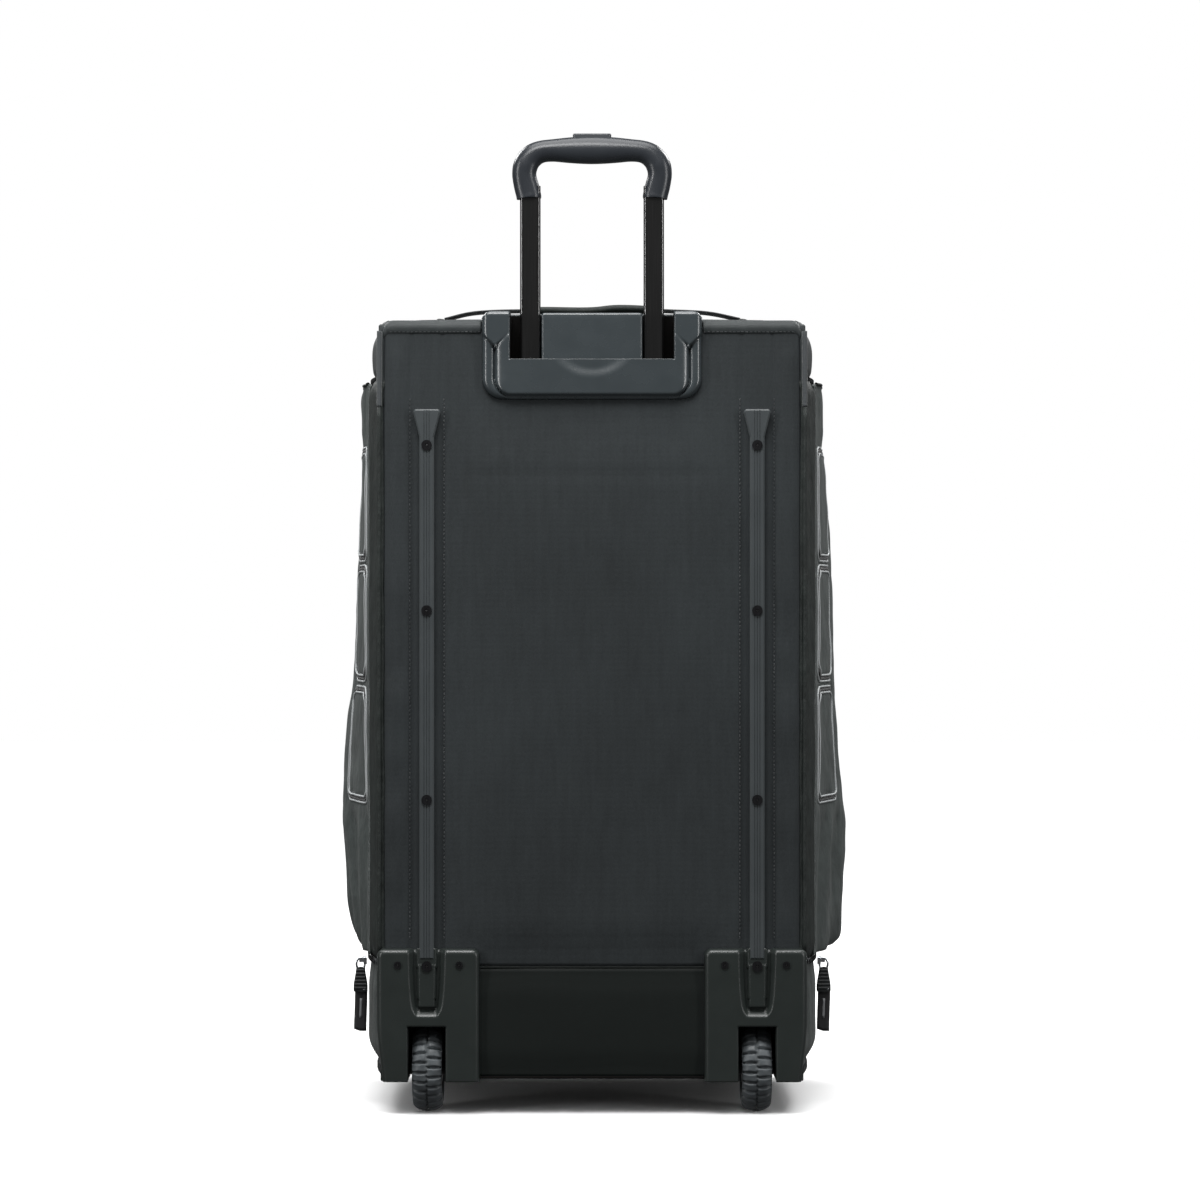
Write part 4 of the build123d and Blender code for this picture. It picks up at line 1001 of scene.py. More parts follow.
def housing_height(x, z, inner, outer, top):
    """Face of the wheel housing above the back panel. x is measured from the rail."""
    edge = corner_depth(min(x + inner, outer - x), top - z, HOUSING_CORNER_R)
    slot = max(abs(x) - WELL_HALF, z - WELL_TOP)
    height = 0.0088 * (0.22 + 0.78 * quarter(edge, 0.0058))
    height -= 0.0016 * (1 - quarter(slot, 0.0018))
    sink = min(step(0, 0.0075, through(RECESS, z) - abs(x)), step(0.0975, 0.1065, z))
    height -= 0.0066 * sink
    tongue = min(0.0085 + 0.0013 * step(0.108, 0.160, z) - abs(x), z - 0.1075)
    if tongue > 0:
        pad = step(0, 0.0010, min(0.0082 - abs(x), 0.1510 - z))
        height = max(height, 0.0052 + 0.0014 * quarter(tongue, 0.0018) + 0.0010 * pad)
    return height


def wheel_housings():
    """Moulded corners: face with the rail's dished recess, corner wing, wheel well."""
    x_in, x_out = low("wheel_housing_right").x, high("wheel_housing_right").x
    z0, z1 = low("wheel_housing_right").z, high("wheel_housing_right").z
    well_y = high("wheel_housing_right").y
    t = 0.0033
    for side, sign in RIGHT_LEFT:
        inner, full_outer = RAIL_X - x_in, x_out - RAIL_X
        us = lines_between(-inner, 0.0011, -WELL_HALF, 0.0010, WELL_HALF, 0.0011, full_outer)
        zs = lines_between(z0, 0.0015, WELL_TOP, 0.0011, z1)

        def place(u, z):
            outer = full_outer - 0.006 * (1 - step(z0 - 0.01, 0.105, z)) ** 1.5
            narrowing = (outer - WELL_HALF) / (full_outer - WELL_HALF)
            x = u if u <= WELL_HALF else WELL_HALF + (u - WELL_HALF) * narrowing
            if x > 0:
                a, b = into_corner(outer - x, z1 - z, HOUSING_CORNER_R)
                x, z = outer - a, z1 - b
            else:
                a, b = into_corner(x + inner, z1 - z, HOUSING_CORNER_R)
                x, z = a - inner, z1 - b
            return Vector((sign * (RAIL_X + x), PLATE_Y - housing_height(x, z, inner, outer, z1), z))

        def slot(i, j):
            return abs(us[j] + us[j + 1]) / 2 < WELL_HALF and zs[i + 1] < WELL_TOP + 1e-6

        rows = [[place(u, z) for u in us] for z in zs]
        face = thicken(grid(f"wheel_housing_face_{side}", rows, skip=slot), 0.0024)

        def box(name, x0, x1, y0, y1, za, zb, r=0.0008):
            a, b = sorted((sign * x0, sign * x1))
            return bevelled_box(name, (a, y0, za), (b, y1, zb), r, 2)

        w0, w1 = RAIL_X - WELL_HALF, RAIL_X + WELL_HALF
        face_y = PLATE_Y - 0.0060
        parts = [
            box("cheek_in", w0 - t, w0, face_y, well_y, z0, WELL_TOP + t),
            box("cheek_out", w1, w1 + t, face_y, well_y, z0, WELL_TOP + t),
            box("well_top", w0 - t, w1 + t, face_y, well_y, WELL_TOP, WELL_TOP + t),
            box("well_front", w0 - t, w1 + t, well_y - t, well_y, z0, WELL_TOP + t),
            box("foot_in", x_in, w0, PLATE_Y - 0.006, well_y, z0, z0 + 0.0022),
            box("foot_out", w1, x_out - 0.008, PLATE_Y - 0.006, well_y, z0, z0 + 0.0022),
            box("wing", x_out - 0.0035, x_out - 0.0002, PLATE_Y - 0.001, PLATE_Y + 0.0102,
                0.100, BODY_BOTTOM - 0.0003, 0.0015),
            box("wing_low", x_out - 0.0085, x_out - 0.0035, PLATE_Y - 0.001, PLATE_Y + 0.0102,
                z0, 0.104, 0.0015),
        ]
        join(face, *parts)
        dress(face, "housing", "bag")
        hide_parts(f"wheel_housing_{side}")


def tyres():
    """Rubber tyres with two rows of worn blocks and a groove between them."""
    width, radius, inner_r = 0.015, 0.043, 0.0312
    knobs, steps_each = 26, 12
    across = [width * math.sin(math.pi / 2 * t) for t in spaced(-1, 1, 31)]
    for side, _ in RIGHT_LEFT:
        lo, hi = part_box(f"tyre_{side}")
        centre = (lo + hi) / 2
        rows = []
        for k in range(knobs * steps_each):
            turn = 2 * math.pi * k / (knobs * steps_each)
            ring = []
            for x in across:
                t = abs(x) / width
                r = inner_r + 0.003 + (radius - inner_r - 0.003) * (1 - t ** 2.35) ** (1 / 2.35)
                row_wander = 0.05 * ripple(turn * 3, 2.0 if x > 0 else 5.0, 0, 20)
                cell = (turn * knobs / (2 * math.pi) + row_wander + (0.5 if x > 0 else 0.0)) % 1.0
                lens = 0.17 - 0.06 * abs(2 * t - 1.0)
                gap = 1 - step(lens * 0.45, lens * 1.25, min(cell, 1 - cell))
                middle = mound(x, 0, 0.0017)
                r -= 0.0034 * max(gap * step(0.02, 0.10, t) * (1 - step(0.94, 0.99, t)), 0.8 * middle)
                r -= 0.0006 * mound(cell, 0.5, 0.5) * step(0.55, 0.9, t)
                r += 0.00035 * ripple(x * 200, turn * 9, 1, 21)
                ring.append(centre + Vector((x, r * math.cos(turn), r * math.sin(turn))))
            for x in (width * 0.995, -width * 0.995):
                ring.append(centre + Vector((x, inner_r * math.cos(turn), inner_r * math.sin(turn))))
            rows.append(ring)
        rows.append(rows[0])
        tyre = grid(f"tyre_rubber_{side}", rows, closed=True)
        merge_close(tyre)
        face_out(tyre)
        dress(tyre, "tyre", f"wheel_{side}")
        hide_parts(f"tyre_{side}")


# ---------------------------------------------------------------- handle
BEZEL_TOP, BEZEL_FRONT = high("trolley_bezel").z, high("trolley_bezel").y
BEZEL_BODY_HALF = BEZEL_HALF - 0.0130     # the raised body inside the rolled flange
BEZEL_CORNER_R = 0.021                    # the two lower corners
BEZEL_EDGE_R = 0.004                      # the rolled top edge
POCKET_FLOOR = 0.755                      # the pocket that the grip drops into
MOUTH_HALF = 0.082
WELL_FLOOR = 0.7395                       # the wells round the tubes, lined in painted shadow
WALL_HALF = 0.0505                        # the wall between the tubes
POCKET_INNER_Y = BEZEL_FRONT - 0.004


def bezel_height(x, z):
    """Face of the bezel above the back panel: rolled flange, body, shields, scoop, lips."""
    edge = corner_depth(BEZEL_HALF - abs(x), z - BEZEL_BOTTOM, BEZEL_CORNER_R)
    body = corner_depth(BEZEL_BODY_HALF - abs(x), z - BEZEL_BOTTOM - 0.0030, 0.017)
    side = step(BEZEL_BOTTOM + 0.006, BEZEL_BOTTOM + 0.026, z)
    roll = math.sin(math.pi * max(0.0, min(1.0, edge / 0.0135)))
    out = 0.0042 * quarter(edge, 0.0042) + 0.0029 * roll
    if body > 0:
        out = 0.0042 + 0.0066 * quarter(body, 0.0035 + 0.0105 * side)
    out -= 0.0030 * mound(body, -0.0002, 0.0016)
    away = abs(x) - BEZEL_BODY_HALF
    line = BEZEL_TOP - 0.0385 + 0.95 * abs(away) + 0.0025 * (abs(away) > 0.001)
    shield = 0.0100 * (0.3 + 0.7 * quarter(edge, 0.0065))
    out += (shield - out) * step(0, 0.0018, z - line)
    out -= 0.0010 * mound(z - line, 0.0002, 0.0016)
    if z <= POCKET_FLOOR + 1e-6:
        scoop_r, scoop_z = 0.051, POCKET_FLOOR + 0.0316
        out -= 0.0018 * step(0, 0.012, scoop_r - math.hypot(x, z - scoop_z))
    lip = abs(x) - MOUTH_HALF
    if lip >= -1e-6 and z > POCKET_FLOOR - 1e-6:
        out -= 0.0007 * (1 - quarter(lip, 0.0018))
    return out


def bezel_top_at(x):
    """The outline's top, rounded down at both ends."""
    corner = 0.0095
    past = max(0.0, abs(x) - (BEZEL_HALF - corner))
    return BEZEL_TOP - corner + math.sqrt(max(0.0, corner ** 2 - past ** 2))


def bezel_lowered(x, z):
    """Brings heights near the top down to the outline."""
    blend = max(0.0, (z - BEZEL_TOP + 0.020) / 0.020)
    return z - (BEZEL_TOP - bezel_top_at(x)) * blend ** 2


def bezel_shell():
    """Face, rolled top edge and top of the bezel, open above the pocket."""
    def place(x, z):
        a, b = into_corner(BEZEL_HALF - abs(x), z - BEZEL_BOTTOM, BEZEL_CORNER_R)
        x, z = math.copysign(BEZEL_HALF - a, x), BEZEL_BOTTOM + b
        return Vector((x, PLATE_Y - bezel_height(x, z), bezel_lowered(x, z)))

    edge_z = BEZEL_TOP - BEZEL_EDGE_R
    xs = lines_between(-BEZEL_HALF, 0.0010, -MOUTH_HALF, 0.0013, MOUTH_HALF, 0.0010, BEZEL_HALF)
    zs = lines_between(BEZEL_BOTTOM, 0.0010, POCKET_FLOOR - 0.0003, 0.0003, POCKET_FLOOR, 0.0012, edge_z)
    rows = [[place(x, z) for x in xs] for z in zs]
    for t in quarter_turns(5):
        back = BEZEL_EDGE_R * (1 - math.cos(t))
        z = edge_z + BEZEL_EDGE_R * math.sin(t)
        rows.append([Vector((x, PLATE_Y - bezel_height(x, edge_z - 0.0002) + back, bezel_lowered(x, z)))
                     for x in xs])
    for y in lines_between(PLATE_Y - BEZEL_EDGE_R, 0.003, BEZEL_FRONT):
        rows.append([Vector((x, y, bezel_top_at(x))) for x in xs])
    last = len(zs) - 1

    def gap(i, j):
        across = abs(xs[j] + xs[j + 1]) / 2 < MOUTH_HALF
        y = rows[i][0].y if i > last else -1
        return across and zs[min(i, last)] >= POCKET_FLOOR - 1e-6 and y < BEZEL_FRONT - 0.0045

    return thicken(grid("handle_bezel_shell", rows, skip=gap), 0.0024)


def bezel_box(name, x0, x1, y0, y1, z0, z1, bevel=0.0006):
    return bevelled_box(name, (x0, y0, z0), (x1, y1, z1), bevel)


def bezel_pair(name, x0, x1, *rest):
    """The same box on both sides."""
    return [bezel_box(name, x0, x1, *rest), bezel_box(name, -x1, -x0, *rest)]


def centre_wall():
    """The wall between the tubes, with a rounded top."""
    top, radius = BEZEL_TOP - 0.0011, 0.0022
    section = [(WALL_HALF, POCKET_INNER_Y), (WALL_HALF, -0.145)]
    for t in quarter_turns(8, first=0):
        section.append((WALL_HALF - radius + radius * math.cos(t), BACK_Y + 0.0030 - 0.0030 * math.sin(t)))
    outline = section + [(-x, y) for x, y in section[::-1]]
    rows = []
    for z in lines_between(POCKET_FLOOR - 0.002, 0.004, top - radius):
        rows.append([Vector((x, y - 0.0006 * mound(x, 0, 0.045) * mound(z, 0.785, 0.03), z))
                     for x, y in outline])
    for t in quarter_turns(4):
        inset, z = radius * (1 - math.cos(t)), top - radius + radius * math.sin(t)
        rows.append([Vector((x * (1 - inset / WALL_HALF), y + inset, z)) for x, y in outline])
    rows.append([Vector((x * 0.9, max(y, -0.150), top)) for x, y in outline])
    rows.append([Vector((x * 0.5, -0.135, top)) for x, y in outline])
    wall_piece = grid("centre_wall", rows)
    merge_close(wall_piece)
    return face_away(wall_piece, Vector((0, -0.135, 0.775)))


def handle_bezel():
    """Moulded mouth of the handle: face, pocket, wall between the tubes, and wells round them lined in
    painted shadow.
    """
    shell = bezel_shell()
    floor, top, front, inner_y = POCKET_FLOOR, BEZEL_TOP, BEZEL_FRONT, POCKET_INNER_Y
    # the wells are lined in near-black painted shadow, standing in for the shade deep inside the mouth
    painted_shadow_wells = join(
        *bezel_pair("well", WALL_HALF - 0.004, MOUTH_HALF + 0.001, PLATE_Y + 0.002, front,
                    WELL_FLOOR - 0.002, WELL_FLOOR),
        bezel_box("well_front", -MOUTH_HALF - 0.001, MOUTH_HALF + 0.001, inner_y - 0.0008, inner_y + 0.001,
                  WELL_FLOOR, top - 0.002, 0.0003),
        *bezel_pair("well_side", MOUTH_HALF - 0.0006, MOUTH_HALF + 0.001, PLATE_Y - 0.0065, front,
                    WELL_FLOOR, top - 0.0025, 0.0003),
        *bezel_pair("well_back", WALL_HALF - 0.001, MOUTH_HALF, PLATE_Y - 0.001, PLATE_Y + 0.002,
                    WELL_FLOOR, floor - 0.0008, 0.0003),
    )
    painted_shadow_wells.name = "handle_well_painted_shadow"
    dress(painted_shadow_wells, "shadow", "bag")
    parts = [
        bezel_box("pocket_floor", -WALL_HALF, WALL_HALF, PLATE_Y - 0.0085, front, floor - 0.003, floor),
        bezel_box("pocket_front", -MOUTH_HALF - 0.002, MOUTH_HALF + 0.002, inner_y, front,
                  floor - 0.003, top - 0.0002, 0.001),
        *bezel_pair("pocket_side", MOUTH_HALF, MOUTH_HALF + 0.0024, PLATE_Y - 0.008, front,
                    floor - 0.003, top - 0.0008),
        *bezel_pair("skirt", BEZEL_BODY_HALF - 0.003, BEZEL_BODY_HALF, PLATE_Y, front, 0.742, top - 0.001),
    ]
    join(shell, centre_wall(), *parts)
    dress(shell, "bezel", "bag")
    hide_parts("trolley_bezel")


def handle_grip():
    """One-piece grip: flared sockets, pinched necks, a bar that is fuller in the middle."""
    lo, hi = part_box("grip")
    y = (lo.y + hi.y) / 2
    foot = lo.z
    # x, height above the sockets' mouths, thickness in the view from behind, depth
    shape = ((0.0632, -0.0010, 0.0236, 0.0208), (0.0633, 0.0000, 0.0250, 0.0222),
             (0.0641, 0.0040, 0.0250, 0.0220), (0.0658, 0.0108, 0.0251, 0.0222),
             (0.0676, 0.0185, 0.0244, 0.0228), (0.0681, 0.0245, 0.0244, 0.0236),
             (0.0670, 0.0312, 0.0248, 0.0248), (0.0637, 0.0376, 0.0244, 0.0250),
             (0.0578, 0.0430, 0.0234, 0.0252), (0.0500, 0.0461, 0.0221, 0.0256),
             (0.0392, 0.0472, 0.0224, 0.0264), (0.0250, 0.0474, 0.0252, 0.0274),
             (0.0120, 0.0474, 0.0270, 0.0280), (0.0, 0.0474, 0.0277, 0.0282))
    whole = list(shape) + [(-x, z, a, b) for x, z, a, b in shape[-2::-1]]
    line = catmull([(x, y, foot + z) for x, z, a, b in whole], 6)
    sizes = catmull([(a / 2, b / 2, 0) for x, z, a, b in whole], 6)
    grip = sweep("grip_moulding", line, [(s.x, s.y) for s in sizes], sides=40, up=AWAY, power=2.25)
    smooth_more(grip)
    dress(grip, "grip", "trolley")
    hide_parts("grip")


# ---------------------------------------------------------------- zips
def teeth(name, line, normals, pitch=0.0030, size=(0.0017, 0.0036, 0.0013)):
    """A zip's teeth along a line, in two interlocked rows."""
    verts, faces = [], []
    travelled, want, count = 0.0, 0.0, 0
    for (a, b), n in zip(zip(line, line[1:]), normals):
        run = (b - a).length
        along = (b - a).normalized()
        side = along.cross(n).normalized()
        while run > 0 and travelled + run >= want:
            p = a.lerp(b, (want - travelled) / run) + side * (0.0009 if count % 2 else -0.0009)
            first = len(verts)
            for dx in (-0.5, 0.5):
                for dy in (-0.5, 0.5):
                    for dz, shrink in ((0.0, 1.0), (1.0, 0.7)):
                        flat = along * size[0] * dx * shrink + side * size[1] * dy * shrink
                        verts.append(p + flat + n * size[2] * dz)
            faces += [tuple(first + k for k in quad) for quad in BOX_FACES]
            want += pitch
            count += 1
        travelled += run
    return face_out(build(name, verts, faces, smooth=False))


def zip_tape(name, line, normals):
    """The woven tape under the teeth of a level zip, as a thin strip."""
    half_width, inward = 0.0022, 0.0012
    rows = [[], []]
    for p, n in zip(line, normals):
        rows[0].append(p - UP * half_width - n * inward)
        rows[1].append(p + UP * half_width - n * inward)
    return thicken(grid(name, rows), 0.0010)


def wall_zip(name, half, front, start_y, z):
    """A zip that runs round the bag on a level line."""
    line, normals = [], []
    right = plan(half, front, start_y, 0.0)
    for sign in (1, -1):
        part = [(Vector((sign * p.x, p.y, z)), Vector((sign * n.x, n.y, 0))) for p, n in right]
        part = part if sign > 0 else part[::-1][1:]
        line += [p for p, n in part]
        normals += [n for p, n in part]
    tape = zip_tape(name + "_tape", line, normals)
    dress(tape, "binding", "bag")
    chain = teeth(name + "_teeth", line, normals)
    dress(chain, "zip", "bag")


def rounded_outline(lo, hi, inset, r, side_steps=24):
    """Points round a box's front face with rounded corners, as (x, z)."""
    x0, x1, z0, z1 = lo.x + inset, hi.x - inset, lo.z + inset, hi.z - inset
    corner_steps = 8
    out = []
    corners = ((x1 - r, z1 - r, 0), (x0 + r, z1 - r, 90), (x0 + r, z0 + r, 180), (x1 - r, z0 + r, 270))
    for cx, cz, start in corners:
        for k in range(corner_steps):
            t = math.radians(start + 90 * k / (corner_steps - 1))
            out.append((cx + r * math.cos(t), cz + r * math.sin(t)))
    dense = []
    for i, (xa, za) in enumerate(out):
        xb, zb = out[(i + 1) % len(out)]
        steps = side_steps if i % corner_steps == corner_steps - 1 else 1
        dense += [(xa + (xb - xa) * k / steps, za + (zb - za) * k / steps) for k in range(steps)]
    return dense


def zips():
    """Zips of the shoe compartment, of the lid, and of the ball door."""
    lower_z, upper_z = (BASE_TOP + BODY_BOTTOM) / 2, (BODY_TOP + LID_BOTTOM) / 2
    lower_start_y = -0.124
    wall_zip("shoe_zip", BODY_HALF - 0.0035, BODY_FRONT - 0.0035, lower_start_y, lower_z)
    wall_zip("lid_zip", BODY_HALF - 0.0062, BODY_FRONT - 0.003, HINGE_Y + 0.002, upper_z)
    lo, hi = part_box("ball_door")
    flat = rounded_outline(lo, hi, -0.0018, 0.027)
    line = [Vector((x, BODY_FRONT - 0.0022, z)) for x, z in flat + flat[:1]]
    front = [AWAY] * len(line)
    chain = teeth("door_zip_teeth", line, front)
    dress(chain, "zip", "bag")
    tape = sweep("door_zip_tape", line[:-1], [(0.0021, 0.0005)] * (len(line) - 1), sides=8, closed=True,
                 up=AWAY)
    for v in tape.data.vertices:
        v.co.y -= 0.0012
    dress(tape, "binding", "bag")
    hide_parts("zip_chains")


def pull(name, node, face_axis, ribbon):
    """Ring, ribbed rubber tab, and on the lower zips a ribbon. face_axis is the way its ribs look."""
    lo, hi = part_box(node)
    middle = (lo + hi) / 2
    top_z = hi.z - 0.0012
    top = Vector((middle.x, middle.y, top_z))

    def at(w, d, f=0.0):
        return top + ACROSS * w - UP * d + face_axis * f

    turns = [2 * math.pi * k / 24 for k in range(24)]
    loop = [at(0.0042 * math.cos(t), 0.0052 - 0.0062 * math.sin(t)) for t in turns]
    ring = sweep(name + "_ring", loop, 0.0011, sides=10, closed=True, up=face_axis)
    dress(ring, "zip_metal", node)
    length = 0.026 if ribbon else 0.032
    rows = []
    for t in spaced(0, 1, 41):
        d = 0.0080 + length * t
        half = (0.0046 + 0.0026 * step(0, 0.8, t)) * quarter(min(t, 1 - t) * length, 0.0022) ** 0.5
        rib = 0.5 + 0.5 * math.cos(2 * math.pi * t * length / 0.0036)
        thick = 0.0015 + 0.0008 * rib * step(0.04, 0.12, t) * step(0.04, 0.12, 1 - t)
        ring_row = []
        for j in range(16):
            c, s = squared_turn(2 * math.pi * j / 16, 0.45)
            ring_row.append(at(half * c, d, thick * s))
        rows.append(ring_row)
    tab = grid(name + "_tab", rows, closed=True)
    join(tab, end_caps(name, rows))
    merge_close(tab)
    face_out(tab)
    dress(tab, "pull", node)
    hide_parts(node)
    if ribbon:
        pull_ribbon(name, node, at, face_axis, top_z - lo.z)


def pull_ribbon(name, node, at, face_axis, bottom):
    """Folded ribbon below the tab, with a plain woven mark and a rivet. at(w, d, f) gives places."""
    depths = spaced(0.030, bottom, 14)
    line = [at(0.0006 * math.sin(d * 60), d, -0.0012 + 0.0006 * math.sin(d * 90)) for d in depths]
    half = ACROSS * 0.0063
    rows = []
    for p, d in zip(line, depths):
        cut = UP * 0.0022 * step(bottom - 0.012, bottom, d)
        rows.append([p - half + cut, p - half * 0.5 + cut * 0.5, p, p + half * 0.5, p + half])
    strip = thicken_evenly(grid(name + "_ribbon", rows), 0.0018)
    dress(strip, "ribbon", node)
    raised, mark_half = face_axis * 0.0011, ACROSS * 0.0012
    mark = grid(name + "_mark", [[p - mark_half + raised, p + mark_half + raised] for p in line[3:-4]])
    thicken_evenly(mark, 0.0003)
    dress(mark, "ribbon_mark", node)
    dot, reach = at(0.0042, 0.0305, 0.0012), Vector((0.0011, 0.0009, 0.0011))
    rivet = bevelled_box(name + "_rivet", dot - reach, dot + reach, 0.0008)
    dress(rivet, "zip_metal", node)


def pulls():
    """All five pulls, on their own bodies."""
    for side, _ in RIGHT_LEFT:
        pull(f"shoe_pull_{side}", f"zip_pull_lower_{side}", -AWAY, True)
        pull(f"lid_pull_{side}", f"zip_pull_lid_{side}", AWAY, False)
    pull("door_pull", "zip_pull_door", AWAY, False)


# ---------------------------------------------------------------- front
def pillow(name, lo, hi, r, rings, seed, ripples=0.001):
    """A soft panel that faces +Y, ring by ring: rings are (inset, y) from its edge inward."""
    rows = []
    half = min(hi.x - lo.x, hi.z - lo.z) / 2
    rings = list(rings) + [(inset, rings[-1][1]) for inset in spaced(rings[-1][0], half - 0.005, 12)[1:]]
    for inset, y in rings:
        radius = min(max(r - inset * 0.55, 0.004), half - inset - 0.0005)
        row = []
        for x, z in rounded_outline(lo, hi, inset, radius):
            soft = step(0.004, 0.03, inset)
            row.append(Vector((x, y + ripples * soft * ripple(x * 17, 0, z * 15, seed)
                               + ripples * 0.5 * soft * ripple(x * 45, 1, z * 38, seed + 1), z)))
        rows.append(row)
    sheet = grid(name, rows, closed=True)
    last = build(name + "_middle", rows[-1], [tuple(range(len(rows[-1])))])
    join(sheet, last)
    merge_close(sheet)
    face_out(sheet)
    for face in sheet.data.polygons:
        face.use_smooth = len(face.vertices) <= 4
    return sheet


def ball_door():
    """The door over the balls: a padded panel with its lining and a piping cord."""
    lo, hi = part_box("ball_door")
    skin = hi.y - 0.0004
    door = pillow("ball_door_cloth", lo, hi, 0.025,
                  ((0.0, lo.y), (0.0, skin - 0.0045), (0.0012, skin - 0.0022), (0.004, skin - 0.0014),
                   (0.008, skin - 0.0016), (0.013, skin), (0.03, skin + 0.0006), (0.08, skin + 0.0006)), 31)
    thicken(door, 0.0025, middle=Vector((0, 0, 0.39)))
    dress(door, "door", "ball_door")
    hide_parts("ball_door")
    lining("ball_door", 0.002, 0.023)
    piped("ball_door_piping", lo, hi, 0.0008, 0.0245, skin - 0.0012, "binding", 0.0018)


def front_pocket():
    """The big pocket on the ball door, with a piping cord at its front and one at its rear."""
    lo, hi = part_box("front_pocket")
    face = hi.y - 0.0020
    pocket = pillow("front_pocket_cloth", lo, hi, 0.042,
                    ((0.0, lo.y + 0.0002), (-0.0006, lo.y + 0.008), (0.0004, lo.y + 0.018),
                     (0.0018, lo.y + 0.026), (0.0035, face - 0.0045), (0.0060, face - 0.0028),
                     (0.010, face - 0.0022), (0.022, face - 0.0006), (0.05, face + 0.0006),
                     (0.09, face + 0.0012)), 33, ripples=0.0022)
    thicken(pocket, 0.0018, middle=Vector((0, 0.1, 0.39)))
    dress(pocket, "pocket", "ball_door")
    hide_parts("front_pocket")
    piped("front_pocket_piping_outer", lo, hi, 0.0045, 0.040, face - 0.0030, "piping", 0.0015)
    piped("front_pocket_piping_rear", lo, hi, 0.0012, 0.040, lo.y + 0.0215, "binding", 0.0015)


def shoe_flap():
    """The flap of the shoe compartment, with its lining."""
    lo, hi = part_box("shoe_flap")
    skin = hi.y - 0.0006
    flap = pillow("shoe_flap_cloth", lo, hi, 0.008,
                  ((0.0, lo.y), (0.0, skin - 0.004), (0.0015, skin - 0.0018), (0.006, skin - 0.0014),
                   (0.011, skin + 0.0002), (0.03, skin + 0.0012)), 35)
    thicken(flap, 0.0025, middle=Vector((0, 0, 0.095)))
    dress(flap, "door", "shoe_flap")
    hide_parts("shoe_flap")
    lining("shoe_flap", 0.001, 0.007)


def front_upper_panel():
    """The fixed panel above the ball door, whose lower edge follows the door's rounded corners."""
    lo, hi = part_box("front_upper_panel")
    door = high("ball_door")
    edge = 0.0034
    corner = 0.025 + edge
    rows = []
    for v in spaced(0, 1, 34):
        row = []
        for x in spaced(lo.x, hi.x, 70):
            floor_z = door.z + edge
            over = abs(x) - (door.x + edge - corner)
            if over > 0:
                over = min(over, corner * 0.999)
                floor_z = door.z + edge - corner + math.sqrt(corner ** 2 - over ** 2)
            z = floor_z + (hi.z - floor_z) * v
            soft = step(0, 0.02, min(z - floor_z, hi.z - z, hi.x - abs(x)))
            y = hi.y - 0.0022 + 0.0022 * soft + 0.0008 * soft * ripple(x * 20, 0, z * 20, 37)
            row.append(Vector((x, y, z)))
        rows.append(row)
    panel = thicken(grid("front_upper_cloth", rows), 0.0035)
    dress(panel, "body", "bag")
    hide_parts("front_upper_panel")


def lining(body, inset, corner):
    """The flat inner face of a door."""
    lo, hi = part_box(body)
    inner = rounded_outline(lo, hi, inset, corner)
    back = build(body + "_lining", [Vector((x, lo.y + 0.0004, z)) for x, z in inner],
                 [tuple(range(len(inner)))], smooth=False)
    thicken(back, 0.001, middle=AWAY)
    dress(back, "lining", body)


def piped(name, lo, hi, inset, corner, y, material, radius):
    """A piping cord on the ball door, round a box from lo to hi."""
    flat = rounded_outline(lo, hi, inset, corner, side_steps=20)
    cord = sweep(name, [Vector((x, y, z)) for x, z in flat], radius, sides=8, closed=True, up=AWAY)
    dress(cord, material, "ball_door")


def interior():
    """Foam ball cups, and lining cloth on the shelves, seen when a door stands open."""
    for node in ("compartment_floor", "ball_shelf", "upper_shelf"):
        use(node, "lining")
    lo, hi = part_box("ball_cups")
    centre_y = (lo.y + hi.y) / 2
    x = hi.x - 0.085
    profile = ((0.085, 0.0), (0.085, 0.016), (0.0835, 0.0188), (0.080, 0.0200), (0.0705, 0.0198),
               (0.067, 0.0180), (0.058, 0.0080), (0.049, 0.0012), (0.048, 0.0))
    pieces = []
    for level in (lo.z, hi.z - 0.020):
        for sign in (1, -1):
            rows = []
            for k in range(49):
                t = 2 * math.pi * k / 48
                rows.append([Vector((sign * x + r * math.cos(t), centre_y + r * math.sin(t),
                                     level + h)) for r, h in profile])
            cup = grid("foam_cup", rows, closed=True)
            merge_close(cup)
            pieces.append(face_out(cup))
    cups = join(*pieces)
    cups.name = "foam_ball_cups"
    dress(cups, "foam", "bag")
    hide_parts("ball_cups")


def use(node, material):
    """A better material on a CAD node whose shape is right."""
    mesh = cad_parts[node].data
    mesh.materials.clear()
    mesh.materials.append(MATERIALS[material])


def screw_recesses():
    """Cross recesses in the screws' heads, in bright metal as a painted highlight."""
    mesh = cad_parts["screws"].data
    spots = []
    for v in mesh.vertices:
        if all(math.hypot(v.co.x - s.x, v.co.z - s.z) > 0.012 for s in spots):
            near = [w.co for w in mesh.vertices if math.hypot(w.co.x - v.co.x, w.co.z - v.co.z) < 0.012]
            lo = Vector(tuple(min(p[k] for p in near) for k in range(3)))
            hi = Vector(tuple(max(p[k] for p in near) for k in range(3)))
            spots.append(Vector(((lo.x + hi.x) / 2, lo.y, (lo.z + hi.z) / 2)))
    pieces = []
    for s in spots:
        for wide, tall in ((0.0013, 0.0004), (0.0004, 0.0013)):
            pieces.append(bevelled_box("screw_recess", (s.x - wide, s.y + 0.0008, s.z - tall),
                                       (s.x + wide, s.y + 0.0012, s.z + tall), 0.0001, 2))
    crosses = join(*pieces)
    crosses.name = "screw_recesses"
    dress(crosses, "recess", "bag")


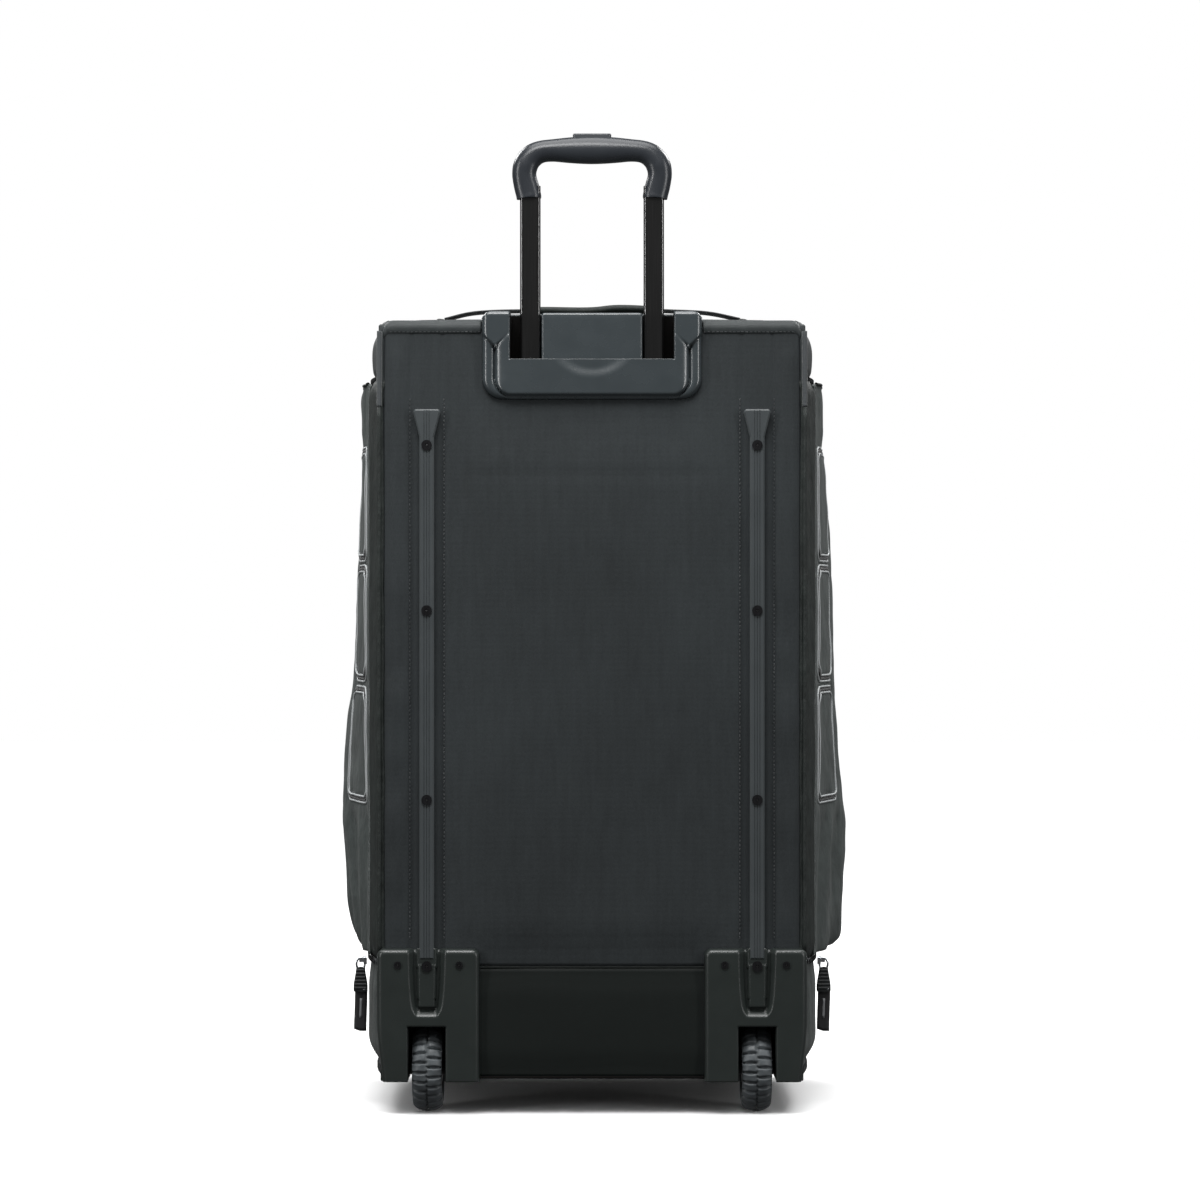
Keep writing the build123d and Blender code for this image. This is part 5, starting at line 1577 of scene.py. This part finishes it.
def cad_materials():
    nodes = {"release_button": "button", "push_rods": "steel", "button_spring": "steel",
             "wheel_axles": "steel", "wheel_spacers": "nylon", "screws": "screw",
             "tube_guides": "nylon", "tube_plugs": "nylon", "tube_foot_bracket": "nylon",
             "base_tray": "tray", "front_feet": "tray"}
    for side, _ in RIGHT_LEFT:
        nodes.update({f"skid_rail_{side}": "rail", f"outer_tube_{side}": "tube",
                      f"inner_tube_{side}": "tube", f"lock_pin_{side}": "steel", f"hub_{side}": "hub",
                      f"bearings_{side}": "steel"})
    for name in ("door", "lid_right", "lid_left", "lower_right", "lower_left"):
        nodes[f"zip_slider_{name}"] = "zip_metal"
    for node, material in nodes.items():
        use(node, material)


# ---------------------------------------------------------------- run
cad_materials()
back_panel()
lower_back()
edge_piping()
top_roll()
side_panels()
side_pockets()
base()
lid()
carry_handle()
wheel_housings()
tyres()
handle_bezel()
handle_grip()
zips()
pulls()
ball_door()
front_pocket()
shoe_flap()
front_upper_panel()
interior()
screw_recesses()


# ---------------------------------------------------------------- floor and light
def studio():
    """White surroundings, a wide light from above, and soft boxes: in front, at both sides, far behind."""
    world = bpy.data.worlds.new("studio")
    bpy.context.scene.world = world
    world.use_nodes = True
    tree = world.node_tree
    backdrop = tree.nodes["Background"]
    backdrop.inputs["Color"].default_value = (1, 1, 1, 1)
    seen = tree.nodes.new("ShaderNodeLightPath").outputs["Is Camera Ray"]
    level = tree.nodes.new("ShaderNodeMapRange")
    level.inputs["To Min"].default_value = 0.10
    level.inputs["To Max"].default_value = 1.0
    tree.links.new(seen, level.inputs["Value"])
    tree.links.new(level.outputs["Result"], backdrop.inputs["Strength"])

    floor = grid("floor", [[Vector((x, y, 0)) for x in (-9, 9)] for y in (-9, 9)])
    n = Nodes("floor_paint")
    n.link(n.ramp(n.noise(3.0), (0.90, 0.90, 0.90), (0.93, 0.93, 0.93)), n.shader.inputs["Base Color"])
    n.set(Roughness=0.6)
    floor.data.materials.append(n.material)
    floor.visible_diffuse = False
    floor.visible_glossy = False

    lamp = new_lamp("overhead", "SUN", (0, -0.14, 1), (0, 0, 0))
    lamp.data.energy, lamp.data.angle = 3.8, math.radians(60)
    for name, place, width, height, power, aim in (
        ("front_high", (-0.15, -0.95, 1.62), 0.8, 0.4, 13.0, (0, -0.1, 0.6)),
        ("left_box", (-1.9, -1.3, 1.0), 0.22, 1.6, 21.0, (0, 0, 0.65)),
        ("right_box", (1.9, -1.3, 1.0), 0.22, 1.6, 18.0, (0, 0, 0.65)),
        ("far_left_box", (-1.5, 1.5, 2.2), 0.9, 0.9, 34.0, (0, 0.1, 0.5)),
        ("far_right_box", (1.5, 1.5, 2.2), 0.9, 0.9, 34.0, (0, 0.1, 0.5)),
    ):
        lamp = new_lamp(name, "AREA", place, aim)
        lamp.data.shape = "RECTANGLE"
        lamp.data.size, lamp.data.size_y, lamp.data.energy = width, height, power
    bpy.context.scene.view_settings.view_transform = "Standard"


def new_lamp(name, kind, place, aim):
    lamp = bpy.data.objects.new(name, bpy.data.lights.new(name, kind))
    lamp.location = place
    lamp.rotation_euler = (Vector(aim) - Vector(place)).to_track_quat("-Z", "Y").to_euler()
    bpy.context.collection.objects.link(lamp)
    return lamp


studio()
